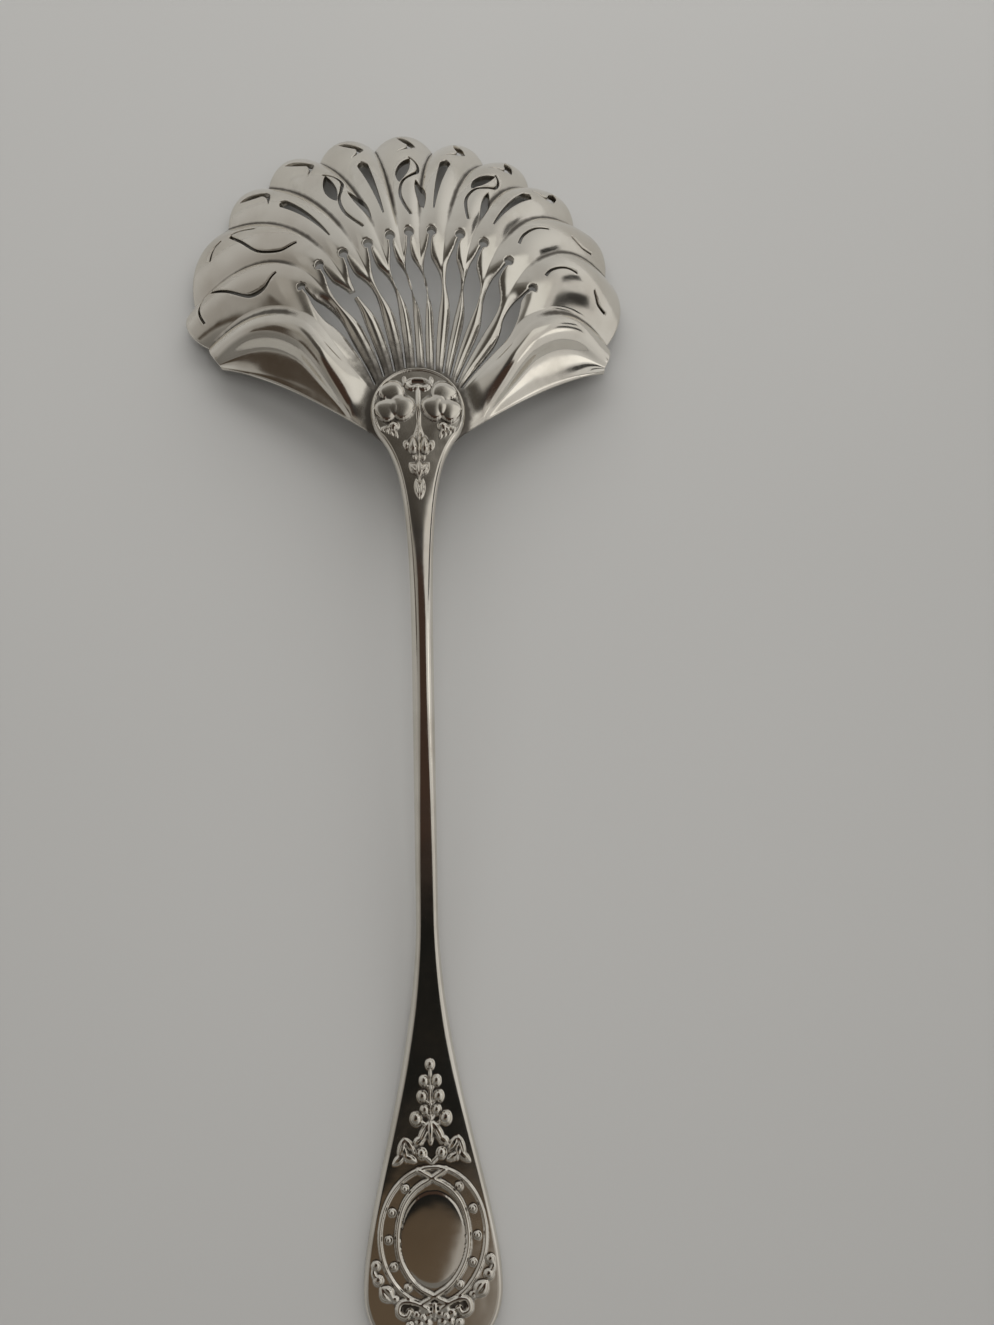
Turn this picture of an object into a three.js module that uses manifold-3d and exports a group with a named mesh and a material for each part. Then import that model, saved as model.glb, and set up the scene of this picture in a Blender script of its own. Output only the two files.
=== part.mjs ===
// A sugar sifter spoon: a fluted and pierced shell bowl, soldered under the round drop of a struck handle.
// Millimetres, +Z up. The spoon lies face down, so that its ornament shows: the end of the handle and the far
// rim of the bowl touch the table. Lengths along the spoon are measured from the middle of the drop.
import * as THREE from 'three';
import { mergeVertices } from 'three/addons/utils/BufferGeometryUtils.js';
import Module from 'manifold-3d';

// The joint between bowl and handle
const DROP_RADIUS = 8;
const DROP_THICKNESS = 1.9;
const SOLDER_THICKNESS = 0.2;
const SOLDER_RADIUS = 5.8;
const SEAT_MARGIN = 0.4;
const SEAT_UNDERSIDE = 9.3;

// The bowl's sheet and its flutes
const SHEET = 1.1;
const PIERCED_FLUTES = 11;
const FLUTE_RISE = 2.1;
const FLUTE_FADE = 0.5;
const FLUTE_START = 0.2;
const FLUTE_FULL = 0.6;
const ROLL_RISE = 1.9;
const ROLL_POWER = 0.65;
const ROLL_FULL = 0.3;
const ROLL_FADE = 0.5;
const ROLL_FADE_START = 0.7;
const SCOOP_DEPTH = 0.4;
const POOL_SHARE = 0.52;
const POOL_POWER = 0.6;
const POOL_START = 0.1;
const POOL_END = 1.06;
const CREST_HEIGHT = 12;
const CREST_FALL = 0.7;
const WALL_POWER = 1.85;
const MOUTH_STEP = 11.2;
const MOUTH_TURN = 11;
const NECK_TURN = 50;
const SIDE_BOW = { x: 0.7, y: -0.9 };
const TONGUE_LENGTH = 6.4;
const TONGUE_HALF_WIDTH = 5.6;

// The ring of round holes, one to a flute, in plan and as shares of its length. A further point at each end
// carries it on under the end flutes. The spacing is that of hand work.
const HOLE_RING_LENGTH = 33.1;
const HOLE_RING = [
  [-0.52, 0.356], [-0.586, 0.686], [-0.492, 0.804], [-0.369, 0.87], [-0.242, 0.927], [-0.127, 0.976],
  [-0.03, 1], [0.088, 1.009], [0.239, 0.994], [0.36, 0.949], [0.489, 0.849], [0.613, 0.701], [0.55, 0.372],
];
const HOLE_SHARE = 0.44;

// The rim is an oval. Each crease has a turn round it in degrees and a reach outside it, and each flute has a
// scallop of its own.
const RIM_CREASES = [
  [-107.7, 0], [-93.5, 1.4], [-63.1, 0], [-43.8, 0.3], [-26.3, 0], [-9.3, 0],
  [8, -0.3], [23.9, -0.3], [39.9, -0.7], [59.4, -0.4], [79.7, 0.3], [105.7, 0],
];
const SCALLOPS = [1.8, 0.4, 0.5, 1, 1, 1, 0.75, 0.8, 0.75, 0.4, 0.95];
const RIM_CENTRE = { x: -0.9, y: 25.8 };
const RIM_HALF_WIDTH = 36;
const RIM_HALF_LENGTH = 32.7;
const RIM_SIDE_LIFT = 2.6;
const CORNER = { x: 33.4, y: 11.2, z: 4 };
const NEAR_RIM_MIDDLE = { x: 20.8, y: 5.8, z: 7 };

// The piercing. Points of an outline are millimetres on the middle flute: across it, and along it from its
// hole. A station of a slot is a share of the bars' length, a half width and a sway.
const HOLE_RADIUS = 0.8;
const SLOT = [
  [0, 0.28, 0], [0.1, 0.28, -0.25], [0.18, 0.55, -0.4], [0.235, 0.95, -0.15], [0.3, 1.3, 0.2],
  [0.38, 1.35, 0.5], [0.47, 0.95, 0.8], [0.57, 0.48, 0.9], [0.7, 0.26, 0.7], [0.85, 0.18, 0.35],
  [0.97, 0.15, 0.05],
];
const SAW_CUT = 0.45;
const WEDGE_HALF_WIDTH = 0.85;
const WEDGE_FOOT = 4.5;
const WEDGE_HEAD = 18;
const WEDGE_CROWN = 1.8;
const MIDDLE_WALL = 30;
const LEFT_LEAF = [[1, 18.6], [-2.6, 14.8], [-0.8, 10.9], [1.3, 13.8], [1, 18.6]];
const RIGHT_LEAF = [[1.9, 12.4], [4.2, 9.8], [2.8, 5], [1.2, 9.2], [1.9, 12.4]];
const KNOT_LINE = [
  [0.7, 19], [2.1, 17.6], [2.3, 15.4], [1, 12.9], [-0.4, 10.8], [-0.9, 8], [-0.3, 5.4], [0.6, 3.4],
];
const RIM_SLASH = [
  [-1, 28.7], [0.7, 28.3], [1.9, 24.8], [1.5, 22.4], [-1, 21.2], [0.8, 23], [0.6, 24.4], [-0.4, 25.8],
  [-1, 28.7],
];
const LEFT_SIDE_LINES = [
  [[1, 7], [-1.5, 9.5], [-2.1, 15], [0.3, 19.8], [2.7, 23.4], [3.5, 22], [3.3, 18.5]],
  [[2.4, 25.2], [1, 26.3], [-1.4, 26.8]],
];
const RIGHT_SIDE_LINES = [
  [[-0.7, 4.6], [-1.4, 7.2], [-1.4, 11], [-0.5, 14]],
  [[1.2, 20], [2.8, 22.6], [3.2, 26]],
];

// The handle
const HANDLE_LENGTH = 143.4;
const END_WIDEST = 135.9;
const END_HALF_WIDTH = 10.3;
const END_FLAT_HALF_WIDTH = 5.6;
const END_THICKNESS = 2;
const REST_END = 128;
const ARCH_END = 10;
const STEM_THICKNESS = 3;
const STEM_HALF_WIDTH = 1.75;
const STEM_START = 40;
const STEM_END = 84;
const FLARE_LEAVE = 0.22;
const FLARE_ARRIVE = 0.45;
const FLARE_EASE = 0.9;
const NECK_EASE = 0.5;
const CARTOUCHE_PLACE = 128.6;
const CARTOUCHE_HALF_WIDTH = 7.8;
const CARTOUCHE_HALF_LENGTH = 9.5;
const MEDAL_HALF_WIDTH = 4.9;
const MEDAL_HALF_LENGTH = 6.9;
const MEDAL_HEIGHT = 0.8;
const RING_WIRE = 0.45;
const BEAD_RADIUS = 0.75;
const BEADS_PER_SIDE = 5;
const BEAD_STEP = 26;
const DROP_EDGE_WIRE = 0.4;
const EDGE_INSET = 0.8;
const SHOULDER_ANGLE = 43.5;
const SHOULDER_REACH = 4.4;
const DROP_TOP_ANGLE = 84;

// Mesh counts
const COLUMNS_PER_FLUTE = 4;
const END_FLUTE_COLUMNS = 5;
const WALL_ROWS = 12;
const CUT_MARGIN = 1.2;
const DROP_SECTIONS = 10;
const FLARE_SECTIONS = 9;
const NECK_SECTIONS = 8;
const CORNER_SECTIONS = 5;
const RING_SEGMENTS = 32;
const MEDAL_SEGMENTS = 18;
const MEDAL_RINGS = 8;
const EDGE_STEPS = 24;
const WIRE_SIDES = 6;
const FILM_SIDES = 24;
const KNOT_SAMPLES = 8;
const PROBE = 0.4;
const STEP = 0.01;

const { clamp, degToRad, lerp, smoothstep } = THREE.MathUtils;
const wasm = await Module();
wasm.setup();

const CREASE = PIERCED_FLUTES / 2;
const EDGE = CREASE + 1;
const MOUTH_RADIUS = DROP_RADIUS + SEAT_MARGIN;
const MIDDLE_BARS = HOLE_RING_LENGTH - MOUTH_RADIUS;
const SEAT_TOP = SEAT_UNDERSIDE + SHEET;
const DROP_UNDERSIDE = SEAT_TOP + SOLDER_THICKNESS;

// Joining and cutting of closed meshes
function solidOf(geometry) {
  const bare = geometry.clone();
  bare.deleteAttribute('normal');
  bare.deleteAttribute('uv');
  const merged = mergeVertices(bare, 1e-5);
  const vertProperties = new Float32Array(merged.attributes.position.array);
  const triVerts = new Uint32Array(merged.index.array);
  return new wasm.Manifold(new wasm.Mesh({ numProp: 3, vertProperties, triVerts }));
}

function geometryOf(solid) {
  const mesh = solid.getMesh();
  const geometry = new THREE.BufferGeometry();
  geometry.setAttribute('position', new THREE.BufferAttribute(mesh.vertProperties, 3));
  geometry.setIndex(new THREE.BufferAttribute(mesh.triVerts, 1));
  geometry.computeVertexNormals();
  return geometry;
}

// Flute lines run from the mouth (s = 0) over the ring of holes to the rim (s = 1). The value t counts flutes
// from the middle one, so a crease lies at each half. Beyond the last crease is a plain end flute.
function through(start, middle, end, s) {
  const point = start.clone().multiplyScalar((s - HOLE_SHARE) * (s - 1) / HOLE_SHARE);
  point.addScaledVector(middle, s * (s - 1) / (HOLE_SHARE * (HOLE_SHARE - 1)));
  return point.addScaledVector(end, s * (s - HOLE_SHARE) / (1 - HOLE_SHARE));
}

function crown(t) {
  const share = t + CREASE - Math.floor(t + CREASE);
  return 4 * share * (1 - share);
}

function onMouth(t) {
  const inner = clamp(t, -CREASE, CREASE);
  const lean = MOUTH_TURN * (1 - (inner / CREASE) ** 2);
  const turn = degToRad(inner * MOUTH_STEP + lean + (t - inner) * NECK_TURN);
  return new THREE.Vector3(MOUTH_RADIUS * Math.sin(turn), MOUTH_RADIUS * Math.cos(turn), SEAT_UNDERSIDE);
}

const ringLine = new THREE.SplineCurve(HOLE_RING.map(([x, y]) => new THREE.Vector2(x, y)));

function onHoleRing(t) {
  const place = ringLine.getPoint((t + CREASE + 0.5) / (HOLE_RING.length - 1));
  return new THREE.Vector3(place.x, place.y, 0).multiplyScalar(HOLE_RING_LENGTH);
}

function onRim(t) {
  const flute = clamp(Math.floor(t + CREASE), 0, PIERCED_FLUTES - 1);
  const [degrees, reach] = RIM_CREASES[flute].map((from, i) => (
    lerp(from, RIM_CREASES[flute + 1][i], t + CREASE - flute)));
  const turn = degToRad(degrees);
  const out = reach + SCALLOPS[flute] * crown(t);
  const x = RIM_CENTRE.x + (RIM_HALF_WIDTH + out) * Math.sin(turn);
  const y = RIM_CENTRE.y + (RIM_HALF_LENGTH + out) * Math.cos(turn);
  return new THREE.Vector3(x, y, 0);
}

function piercedLine(s, t) {
  const across = t / CREASE;
  const point = through(onMouth(t), onHoleRing(t), onRim(t), s);
  const share = Math.min(s / HOLE_SHARE, 1);
  const bow = (4 * share * (1 - share)) ** 2;
  point.x += SIDE_BOW.x * bow * across * Math.abs(across);
  point.y += SIDE_BOW.y * bow * across ** 2;
  const crest = CREST_HEIGHT - CREST_FALL * across ** 2;
  const rim = RIM_SIDE_LIFT * across ** 4;
  const fall = Math.max(s - HOLE_SHARE, 0) / (1 - HOLE_SHARE);
  const climb = lerp(SEAT_UNDERSIDE, crest, smoothstep(s, 0, HOLE_SHARE));
  point.z = s < HOLE_SHARE ? climb : lerp(crest, rim, fall ** WALL_POWER);
  return point;
}

function nearRim(s, side) {
  const middle = new THREE.Vector3(side * NEAR_RIM_MIDDLE.x, NEAR_RIM_MIDDLE.y, NEAR_RIM_MIDDLE.z);
  const corner = new THREE.Vector3(side * CORNER.x, CORNER.y, CORNER.z);
  return through(onMouth(side * EDGE), middle, corner, s);
}

// Close to the mouth, an end flute leaves the straight line between its two edges for the mouth's circle.
function smoothBowl(s, t) {
  const beyond = Math.abs(t) - CREASE;
  if (beyond <= 0) return piercedLine(s, t);
  const side = Math.sign(t);
  const point = piercedLine(s, side * CREASE).lerp(nearRim(s, side), beyond);
  const chord = onMouth(side * CREASE).lerp(onMouth(side * EDGE), beyond);
  return point.addScaledVector(onMouth(t).sub(chord), (1 - s) ** 8);
}

function bowlNormal(s, t) {
  const along = smoothBowl(Math.min(s + STEP, 1), t).sub(smoothBowl(Math.max(s - STEP, 0), t));
  const across = smoothBowl(s, Math.min(t + STEP, EDGE)).sub(smoothBowl(s, Math.max(t - STEP, -EDGE)));
  return across.cross(along).normalize();
}

// The relief of an end flute: a round roll beside the last crease, then a hollow pool along the near rim.
function endRelief(s, beyond) {
  const place = clamp((s - POOL_START) / (POOL_END - POOL_START), 0, 1);
  const pool = POOL_SHARE * Math.sin(Math.PI * place) ** POOL_POWER;
  const crest = 1 - pool;
  if (beyond > crest) {
    const scoop = (beyond - crest) / pool;
    return -SCOOP_DEPTH * pool / POOL_SHARE * 4 * scoop * (1 - scoop);
  }
  const roll = beyond / crest;
  const swell = smoothstep(s, 0, ROLL_FULL) * (1 - ROLL_FADE * smoothstep(s, ROLL_FADE_START, 1));
  return ROLL_RISE * swell * (4 * roll * (1 - roll)) ** ROLL_POWER;
}

function fluteRelief(s, t) {
  const rise = FLUTE_RISE * (1 - FLUTE_FADE * (t / CREASE) ** 2);
  return rise * s * smoothstep(s, FLUTE_START, FLUTE_FULL) * crown(t);
}

// A point of the bowl, a height above its inner face. Below s = 0 is the flat tongue under the drop.
function bowlPoint(s, t, height) {
  if (s <= 0) {
    const tongue = new THREE.Vector3(TONGUE_HALF_WIDTH * t / EDGE, -TONGUE_LENGTH, SEAT_UNDERSIDE);
    const point = smoothBowl(0, t).lerp(tongue, -s);
    point.z += height;
    return point;
  }
  const beyond = Math.abs(t) - CREASE;
  const relief = beyond > 0 ? endRelief(s, beyond) : fluteRelief(s, t);
  return smoothBowl(s, t).addScaledVector(bowlNormal(s, t), height + relief);
}

function bowlColumns() {
  const pierced = PIERCED_FLUTES * COLUMNS_PER_FLUTE;
  const right = Array.from({ length: END_FLUTE_COLUMNS }, (_, i) => CREASE + (i + 1) / END_FLUTE_COLUMNS);
  const middle = Array.from({ length: pierced + 1 }, (_, i) => lerp(-CREASE, CREASE, i / pierced));
  return [...right.map((t) => -t).reverse(), ...middle, ...right];
}

function bowlBlank() {
  const places = bowlColumns();
  const columns = places.length - 1;
  const rows = WALL_ROWS + 1;
  const positions = [];
  for (const height of [0, SHEET]) {
    for (let row = 0; row <= rows; row += 1) {
      const s = row === 0 ? -1 : (row - 1) / WALL_ROWS;
      for (const t of places) positions.push(...bowlPoint(s, t, height).toArray());
    }
  }
  const layer = (rows + 1) * (columns + 1);
  const at = (row, column, top) => top * layer + row * (columns + 1) + column;
  const index = [];
  const quad = (a, b, c, d) => index.push(a, b, c, a, c, d);
  for (let row = 0; row < rows; row += 1) {
    for (let column = 0; column < columns; column += 1) {
      quad(at(row, column, 1), at(row, column + 1, 1), at(row + 1, column + 1, 1), at(row + 1, column, 1));
      quad(at(row, column, 0), at(row + 1, column, 0), at(row + 1, column + 1, 0), at(row, column + 1, 0));
    }
    quad(at(row, 0, 0), at(row, 0, 1), at(row + 1, 0, 1), at(row + 1, 0, 0));
    quad(at(row, columns, 0), at(row + 1, columns, 0), at(row + 1, columns, 1), at(row, columns, 1));
  }
  for (let column = 0; column < columns; column += 1) {
    quad(at(0, column, 0), at(0, column + 1, 0), at(0, column + 1, 1), at(0, column, 1));
    quad(at(rows, column, 0), at(rows, column, 1), at(rows, column + 1, 1), at(rows, column + 1, 0));
  }
  const geometry = new THREE.BufferGeometry();
  geometry.setAttribute('position', new THREE.Float32BufferAttribute(positions, 3));
  geometry.setIndex(index);
  return geometry;
}

// A cutter is an outline in millimetres on the middle flute, x across it and y along it from its round hole.
// It is carried to flute t: true and square across, and stretched along to that flute's own wall or bars.
function cutter(outline, t, curveSegments) {
  const shape = new THREE.Shape(outline.getPoints(curveSegments));
  const geometry = new THREE.ExtrudeGeometry(shape, { depth: 1, bevelEnabled: false });
  const place = geometry.attributes.position;
  for (let i = 0; i < place.count; i += 1) {
    const y = place.getY(i);
    const s = HOLE_SHARE + (y > 0 ? y * (1 - HOLE_SHARE) / MIDDLE_WALL : y * HOLE_SHARE / MIDDLE_BARS);
    const across = smoothBowl(s, t + PROBE).sub(smoothBowl(s, t - PROBE)).divideScalar(2 * PROBE);
    const along = smoothBowl(s + STEP, t).sub(smoothBowl(s - STEP, t)).divideScalar(2 * STEP);
    const slip = across.dot(along) / along.lengthSq();
    const pitch = across.addScaledVector(along, -slip).length();
    const turn = place.getX(i) / pitch;
    const height = lerp(-CUT_MARGIN, SHEET + CUT_MARGIN, place.getZ(i));
    place.setXYZ(i, ...bowlPoint(s - turn * slip, t + turn, height).toArray());
  }
  return solidOf(geometry);
}

function roundHole() {
  const outline = new THREE.Path();
  outline.absarc(0, 0, HOLE_RADIUS, 0, 2 * Math.PI, false);
  return outline;
}

// From its hole, a slot leaves by a neck, swells to a belly and runs out between the bars, with a sway.
function baluster() {
  const edge = (side) => SLOT.map(([share, half, sway]) => (
    new THREE.Vector2(sway + side * half, -share * MIDDLE_BARS)));
  const left = edge(-1);
  const right = edge(1).reverse();
  const outline = new THREE.Path();
  outline.moveTo(left[0].x, left[0].y);
  outline.splineThru(left.slice(1));
  outline.lineTo(right[0].x, right[0].y);
  outline.splineThru(right.slice(1));
  return outline;
}

function wedge() {
  const outline = new THREE.Path();
  outline.moveTo(-SAW_CUT / 4, WEDGE_FOOT);
  outline.lineTo(SAW_CUT / 4, WEDGE_FOOT);
  outline.lineTo(WEDGE_HALF_WIDTH, WEDGE_HEAD);
  outline.quadraticCurveTo(0, WEDGE_HEAD + WEDGE_CROWN, -WEDGE_HALF_WIDTH, WEDGE_HEAD);
  return outline;
}

// A closed outline of arcs: every second point is a corner, and the ones between pull the arcs.
function arcs(points) {
  const outline = new THREE.Path();
  outline.moveTo(...points[0]);
  for (let i = 1; i < points.length; i += 2) outline.quadraticCurveTo(...points[i], ...points[i + 1]);
  return outline;
}

function sawLine(route) {
  const line = new THREE.SplineCurve(route.map(([x, y]) => new THREE.Vector2(x, y)));
  const edge = (side) => Array.from({ length: KNOT_SAMPLES + 1 }, (_, i) => {
    const way = line.getTangent(i / KNOT_SAMPLES);
    const offset = new THREE.Vector2(-way.y, way.x).multiplyScalar(side * SAW_CUT / 2);
    return line.getPoint(i / KNOT_SAMPLES).add(offset);
  });
  return new THREE.Path([...edge(1), ...edge(-1).reverse()]);
}

// A ribbon knot: two leaf-shaped openings on either side of one sawn, waving line.
function ribbonKnot(t) {
  const leaves = [LEFT_LEAF, RIGHT_LEAF].map((leaf) => cutter(arcs(leaf), t, 3));
  return [...leaves, cutter(sawLine(KNOT_LINE), t, 1)];
}

// The two outer flutes on each side carry sawn lines alone. Inside these, wedges and ribbon knots take turns.
function wallCuts(t) {
  const fromMiddle = Math.abs(t);
  if (fromMiddle > CREASE - 2) {
    const routes = t < 0 ? LEFT_SIDE_LINES : RIGHT_SIDE_LINES;
    return routes.map((route) => cutter(sawLine(route), t, 1));
  }
  const figure = fromMiddle % 2 === 1 ? [cutter(wedge(), t, 4)] : ribbonKnot(t);
  return [...figure, cutter(arcs(RIM_SLASH), t, 2)];
}

function shellBowl() {
  let bowl = solidOf(bowlBlank());
  for (let flute = 0; flute < PIERCED_FLUTES; flute += 1) {
    const t = flute - CREASE + 0.5;
    const cuts = [cutter(roundHole(), t, 5), cutter(baluster(), t, 1), ...wallCuts(t)];
    for (const cut of cuts) bowl = bowl.subtract(cut);
  }
  return geometryOf(bowl);
}

// The handle is lofted through sections square to its length. A distance starts at the middle of the drop.
function smoothBend(from, leave, arrive, to, count) {
  const points = [from, leave, arrive, to].map(([x, y]) => new THREE.Vector2(x, y));
  return new THREE.CubicBezierCurve(...points).getPoints(count).map((p) => [p.x, p.y]);
}

function quarterTurn(count, place) {
  return Array.from({ length: count + 1 }, (_, i) => place(degToRad(90 * i / count)));
}

// Distance and half width of each section, from the blunt end of the handle to the top of the drop.
function handleOutline() {
  const corner = HANDLE_LENGTH - END_WIDEST;
  const widening = END_HALF_WIDTH - END_FLAT_HALF_WIDTH;
  const end = quarterTurn(CORNER_SECTIONS, (turn) => [
    HANDLE_LENGTH - corner * (1 - Math.cos(turn)), END_FLAT_HALF_WIDTH + widening * Math.sin(turn)]);
  const flareLength = END_WIDEST - STEM_END;
  const flare = smoothBend(
    [END_WIDEST, END_HALF_WIDTH], [END_WIDEST - FLARE_LEAVE * flareLength, END_HALF_WIDTH],
    [STEM_END + FLARE_ARRIVE * flareLength, STEM_HALF_WIDTH + FLARE_EASE], [STEM_END, STEM_HALF_WIDTH],
    FLARE_SECTIONS);
  const lower = degToRad(SHOULDER_ANGLE);
  const shoulder = [DROP_RADIUS * Math.sin(lower), DROP_RADIUS * Math.cos(lower)];
  const leave = [
    shoulder[0] + SHOULDER_REACH * Math.cos(lower), shoulder[1] - SHOULDER_REACH * Math.sin(lower)];
  const ease = [STEM_START / 2, STEM_HALF_WIDTH + NECK_EASE];
  const neck = smoothBend([STEM_START, STEM_HALF_WIDTH], ease, leave, shoulder, NECK_SECTIONS);
  const drop = Array.from({ length: DROP_SECTIONS }, (_, i) => {
    const turn = lerp(lower, -degToRad(DROP_TOP_ANGLE), (i + 1) / DROP_SECTIONS);
    return [DROP_RADIUS * Math.sin(turn), DROP_RADIUS * Math.cos(turn)];
  });
  const stem = [2 / 3, 1 / 3].map((share) => [lerp(STEM_START, STEM_END, share), STEM_HALF_WIDTH]);
  return [...end, ...flare.slice(1), ...stem, ...neck, ...drop];
}

function underside(distance) {
  return DROP_UNDERSIDE * (1 - smoothstep(distance, ARCH_END, REST_END));
}

// How far a section is a flat plate, as at the drop and the end, and not the rounded stem.
function flatness(distance) {
  return 1 - smoothstep(distance, DROP_RADIUS, STEM_START) + smoothstep(distance, STEM_END, REST_END);
}

function thickness(distance) {
  const plate = distance < STEM_START ? DROP_THICKNESS : END_THICKNESS;
  return lerp(STEM_THICKNESS, plate, flatness(distance));
}

function topside(distance) {
  return underside(distance) + thickness(distance);
}

// Half of a section, as shares of its half width and its thickness, from underneath to the top.
const PLATE_SECTION = [[0.88, 0], [1, 0.3], [0.97, 0.7], [0.84, 0.94], [0.42, 1]];
const STEM_SECTION = [[0.45, 0], [1, 0.42], [0.9, 0.68], [0.6, 0.92], [0.2, 1]];

function handleBlank() {
  const outline = handleOutline();
  const half = PLATE_SECTION.length;
  const around = 2 * half;
  const positions = [];
  for (const [distance, width] of outline) {
    const flat = flatness(distance);
    const right = PLATE_SECTION.map(([x, z], i) => [
      width * lerp(STEM_SECTION[i][0], x, flat), thickness(distance) * lerp(STEM_SECTION[i][1], z, flat)]);
    const left = right.map(([x, z]) => [-x, z]).reverse();
    for (const [x, z] of [...right, ...left]) positions.push(x, -distance, underside(distance) + z);
  }
  const last = outline.length - 1;
  const index = [];
  for (let section = 0; section < last; section += 1) {
    for (let i = 0; i < around; i += 1) {
      const a = section * around + i;
      const b = section * around + (i + 1) % around;
      index.push(a, a + around, b, b, a + around, b + around);
    }
  }
  for (let i = 1; i < around - 1; i += 1) {
    index.push(0, i, i + 1);
    index.push(last * around, last * around + i + 1, last * around + i);
  }
  const geometry = new THREE.BufferGeometry();
  geometry.setAttribute('position', new THREE.Float32BufferAttribute(positions, 3));
  geometry.setIndex(index);
  return geometry;
}

// Ornament struck with the handle: the oval cartouche with its beads, and the raised edge of the drop.
function ovalWire(halfWidth, halfLength) {
  const profile = Array.from({ length: WIRE_SIDES + 1 }, (_, i) => {
    const turn = 2 * Math.PI * i / WIRE_SIDES;
    return new THREE.Vector2(halfWidth + RING_WIRE * Math.cos(turn), RING_WIRE * Math.sin(turn));
  });
  const wire = new THREE.LatheGeometry(profile, RING_SEGMENTS);
  wire.rotateX(Math.PI / 2);
  return wire.scale(1, halfLength / halfWidth, 1);
}

function cartouche() {
  const innerWidth = MEDAL_HALF_WIDTH + RING_WIRE;
  const innerLength = MEDAL_HALF_LENGTH + RING_WIRE;
  const pieces = [ovalWire(CARTOUCHE_HALF_WIDTH, CARTOUCHE_HALF_LENGTH), ovalWire(innerWidth, innerLength)];
  const medal = new THREE.SphereGeometry(1, MEDAL_SEGMENTS, MEDAL_RINGS);
  pieces.push(medal.scale(MEDAL_HALF_WIDTH, MEDAL_HEIGHT, MEDAL_HALF_LENGTH).rotateX(Math.PI / 2));
  for (const side of [-1, 1]) {
    for (let bead = 0; bead < BEADS_PER_SIDE; bead += 1) {
      const turn = degToRad(90 + (bead - (BEADS_PER_SIDE - 1) / 2) * BEAD_STEP);
      const x = side * Math.sin(turn) * (innerWidth + CARTOUCHE_HALF_WIDTH) / 2;
      const y = Math.cos(turn) * (innerLength + CARTOUCHE_HALF_LENGTH) / 2;
      pieces.push(new THREE.IcosahedronGeometry(BEAD_RADIUS, 1).translate(x, y, 0));
    }
  }
  return pieces.map((piece) => piece.translate(0, -CARTOUCHE_PLACE, topside(CARTOUCHE_PLACE)));
}

function dropEdge() {
  const radius = DROP_RADIUS - EDGE_INSET;
  const reach = degToRad(90 + SHOULDER_ANGLE / 2);
  const route = Array.from({ length: EDGE_STEPS / 2 + 1 }, (_, i) => {
    const turn = lerp(-reach, reach, 2 * i / EDGE_STEPS);
    const top = DROP_UNDERSIDE + DROP_THICKNESS;
    return new THREE.Vector3(radius * Math.sin(turn), radius * Math.cos(turn), top);
  });
  const section = new THREE.Shape().absarc(0, 0, DROP_EDGE_WIRE, 0, 2 * Math.PI, false);
  const settings = { steps: EDGE_STEPS, curveSegments: WIRE_SIDES / 2, bevelEnabled: false };
  return new THREE.ExtrudeGeometry(section, { ...settings, extrudePath: new THREE.CatmullRomCurve3(route) });
}

function handle() {
  let solid = solidOf(handleBlank());
  for (const ornament of [...cartouche(), dropEdge()]) solid = solid.add(solidOf(ornament));
  return geometryOf(solid);
}

function solderSeam() {
  const film = new THREE.CylinderGeometry(SOLDER_RADIUS, SOLDER_RADIUS, SOLDER_THICKNESS, FILM_SIDES);
  return film.rotateX(Math.PI / 2).translate(0, 0, SEAT_TOP + SOLDER_THICKNESS / 2);
}

function piece(name, geometry, color, roughness) {
  const mesh = new THREE.Mesh(geometry, new THREE.MeshStandardMaterial({ color, roughness, metalness: 1 }));
  mesh.name = name;
  return mesh;
}

const spoon = new THREE.Group();
spoon.add(piece('shell_bowl', shellBowl(), 0xb9b5ac, 0.22));
spoon.add(piece('handle', handle(), 0xaeaaa2, 0.25));
spoon.add(piece('solder_seam', solderSeam(), 0x8f8b82, 0.45));

// The origin lies under the middle of the spoon's length and width, on the table.
const middle = new THREE.Box3().setFromObject(spoon).getCenter(new THREE.Vector3());
spoon.position.set(-middle.x, -middle.y, 0);

export default spoon;
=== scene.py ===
"""A worn silver sugar sifter spoon, laid face down: a fluted and pierced shell bowl under a struck handle.

Shapes are worked out in millimetres.
The middle of the handle's drop is at x = y = 0 and the table is at z = 0.
A distance d runs from the middle of the drop towards the end of the handle.
"""
import math

import bpy
import numpy as np
from mathutils import Matrix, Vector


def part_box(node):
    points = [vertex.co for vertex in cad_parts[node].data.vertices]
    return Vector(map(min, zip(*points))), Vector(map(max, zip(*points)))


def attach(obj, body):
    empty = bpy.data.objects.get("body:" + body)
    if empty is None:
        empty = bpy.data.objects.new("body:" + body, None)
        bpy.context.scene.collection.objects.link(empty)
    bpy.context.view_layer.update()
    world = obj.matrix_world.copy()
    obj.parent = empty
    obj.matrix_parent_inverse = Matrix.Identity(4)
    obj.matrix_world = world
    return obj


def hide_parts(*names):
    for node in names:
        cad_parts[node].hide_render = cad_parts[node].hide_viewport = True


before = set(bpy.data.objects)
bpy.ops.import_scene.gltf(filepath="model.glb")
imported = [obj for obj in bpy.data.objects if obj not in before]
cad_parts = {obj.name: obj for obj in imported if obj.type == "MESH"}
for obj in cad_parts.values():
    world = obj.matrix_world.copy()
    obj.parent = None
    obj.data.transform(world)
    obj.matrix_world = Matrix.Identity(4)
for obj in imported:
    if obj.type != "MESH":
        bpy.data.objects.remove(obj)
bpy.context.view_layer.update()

MM = 0.001
SEAM_LOW, SEAM_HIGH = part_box("solder_seam")
DROP_PLACE = np.array([(SEAM_LOW.x + SEAM_HIGH.x) / 2, (SEAM_LOW.y + SEAM_HIGH.y) / 2, 0.0])

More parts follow.
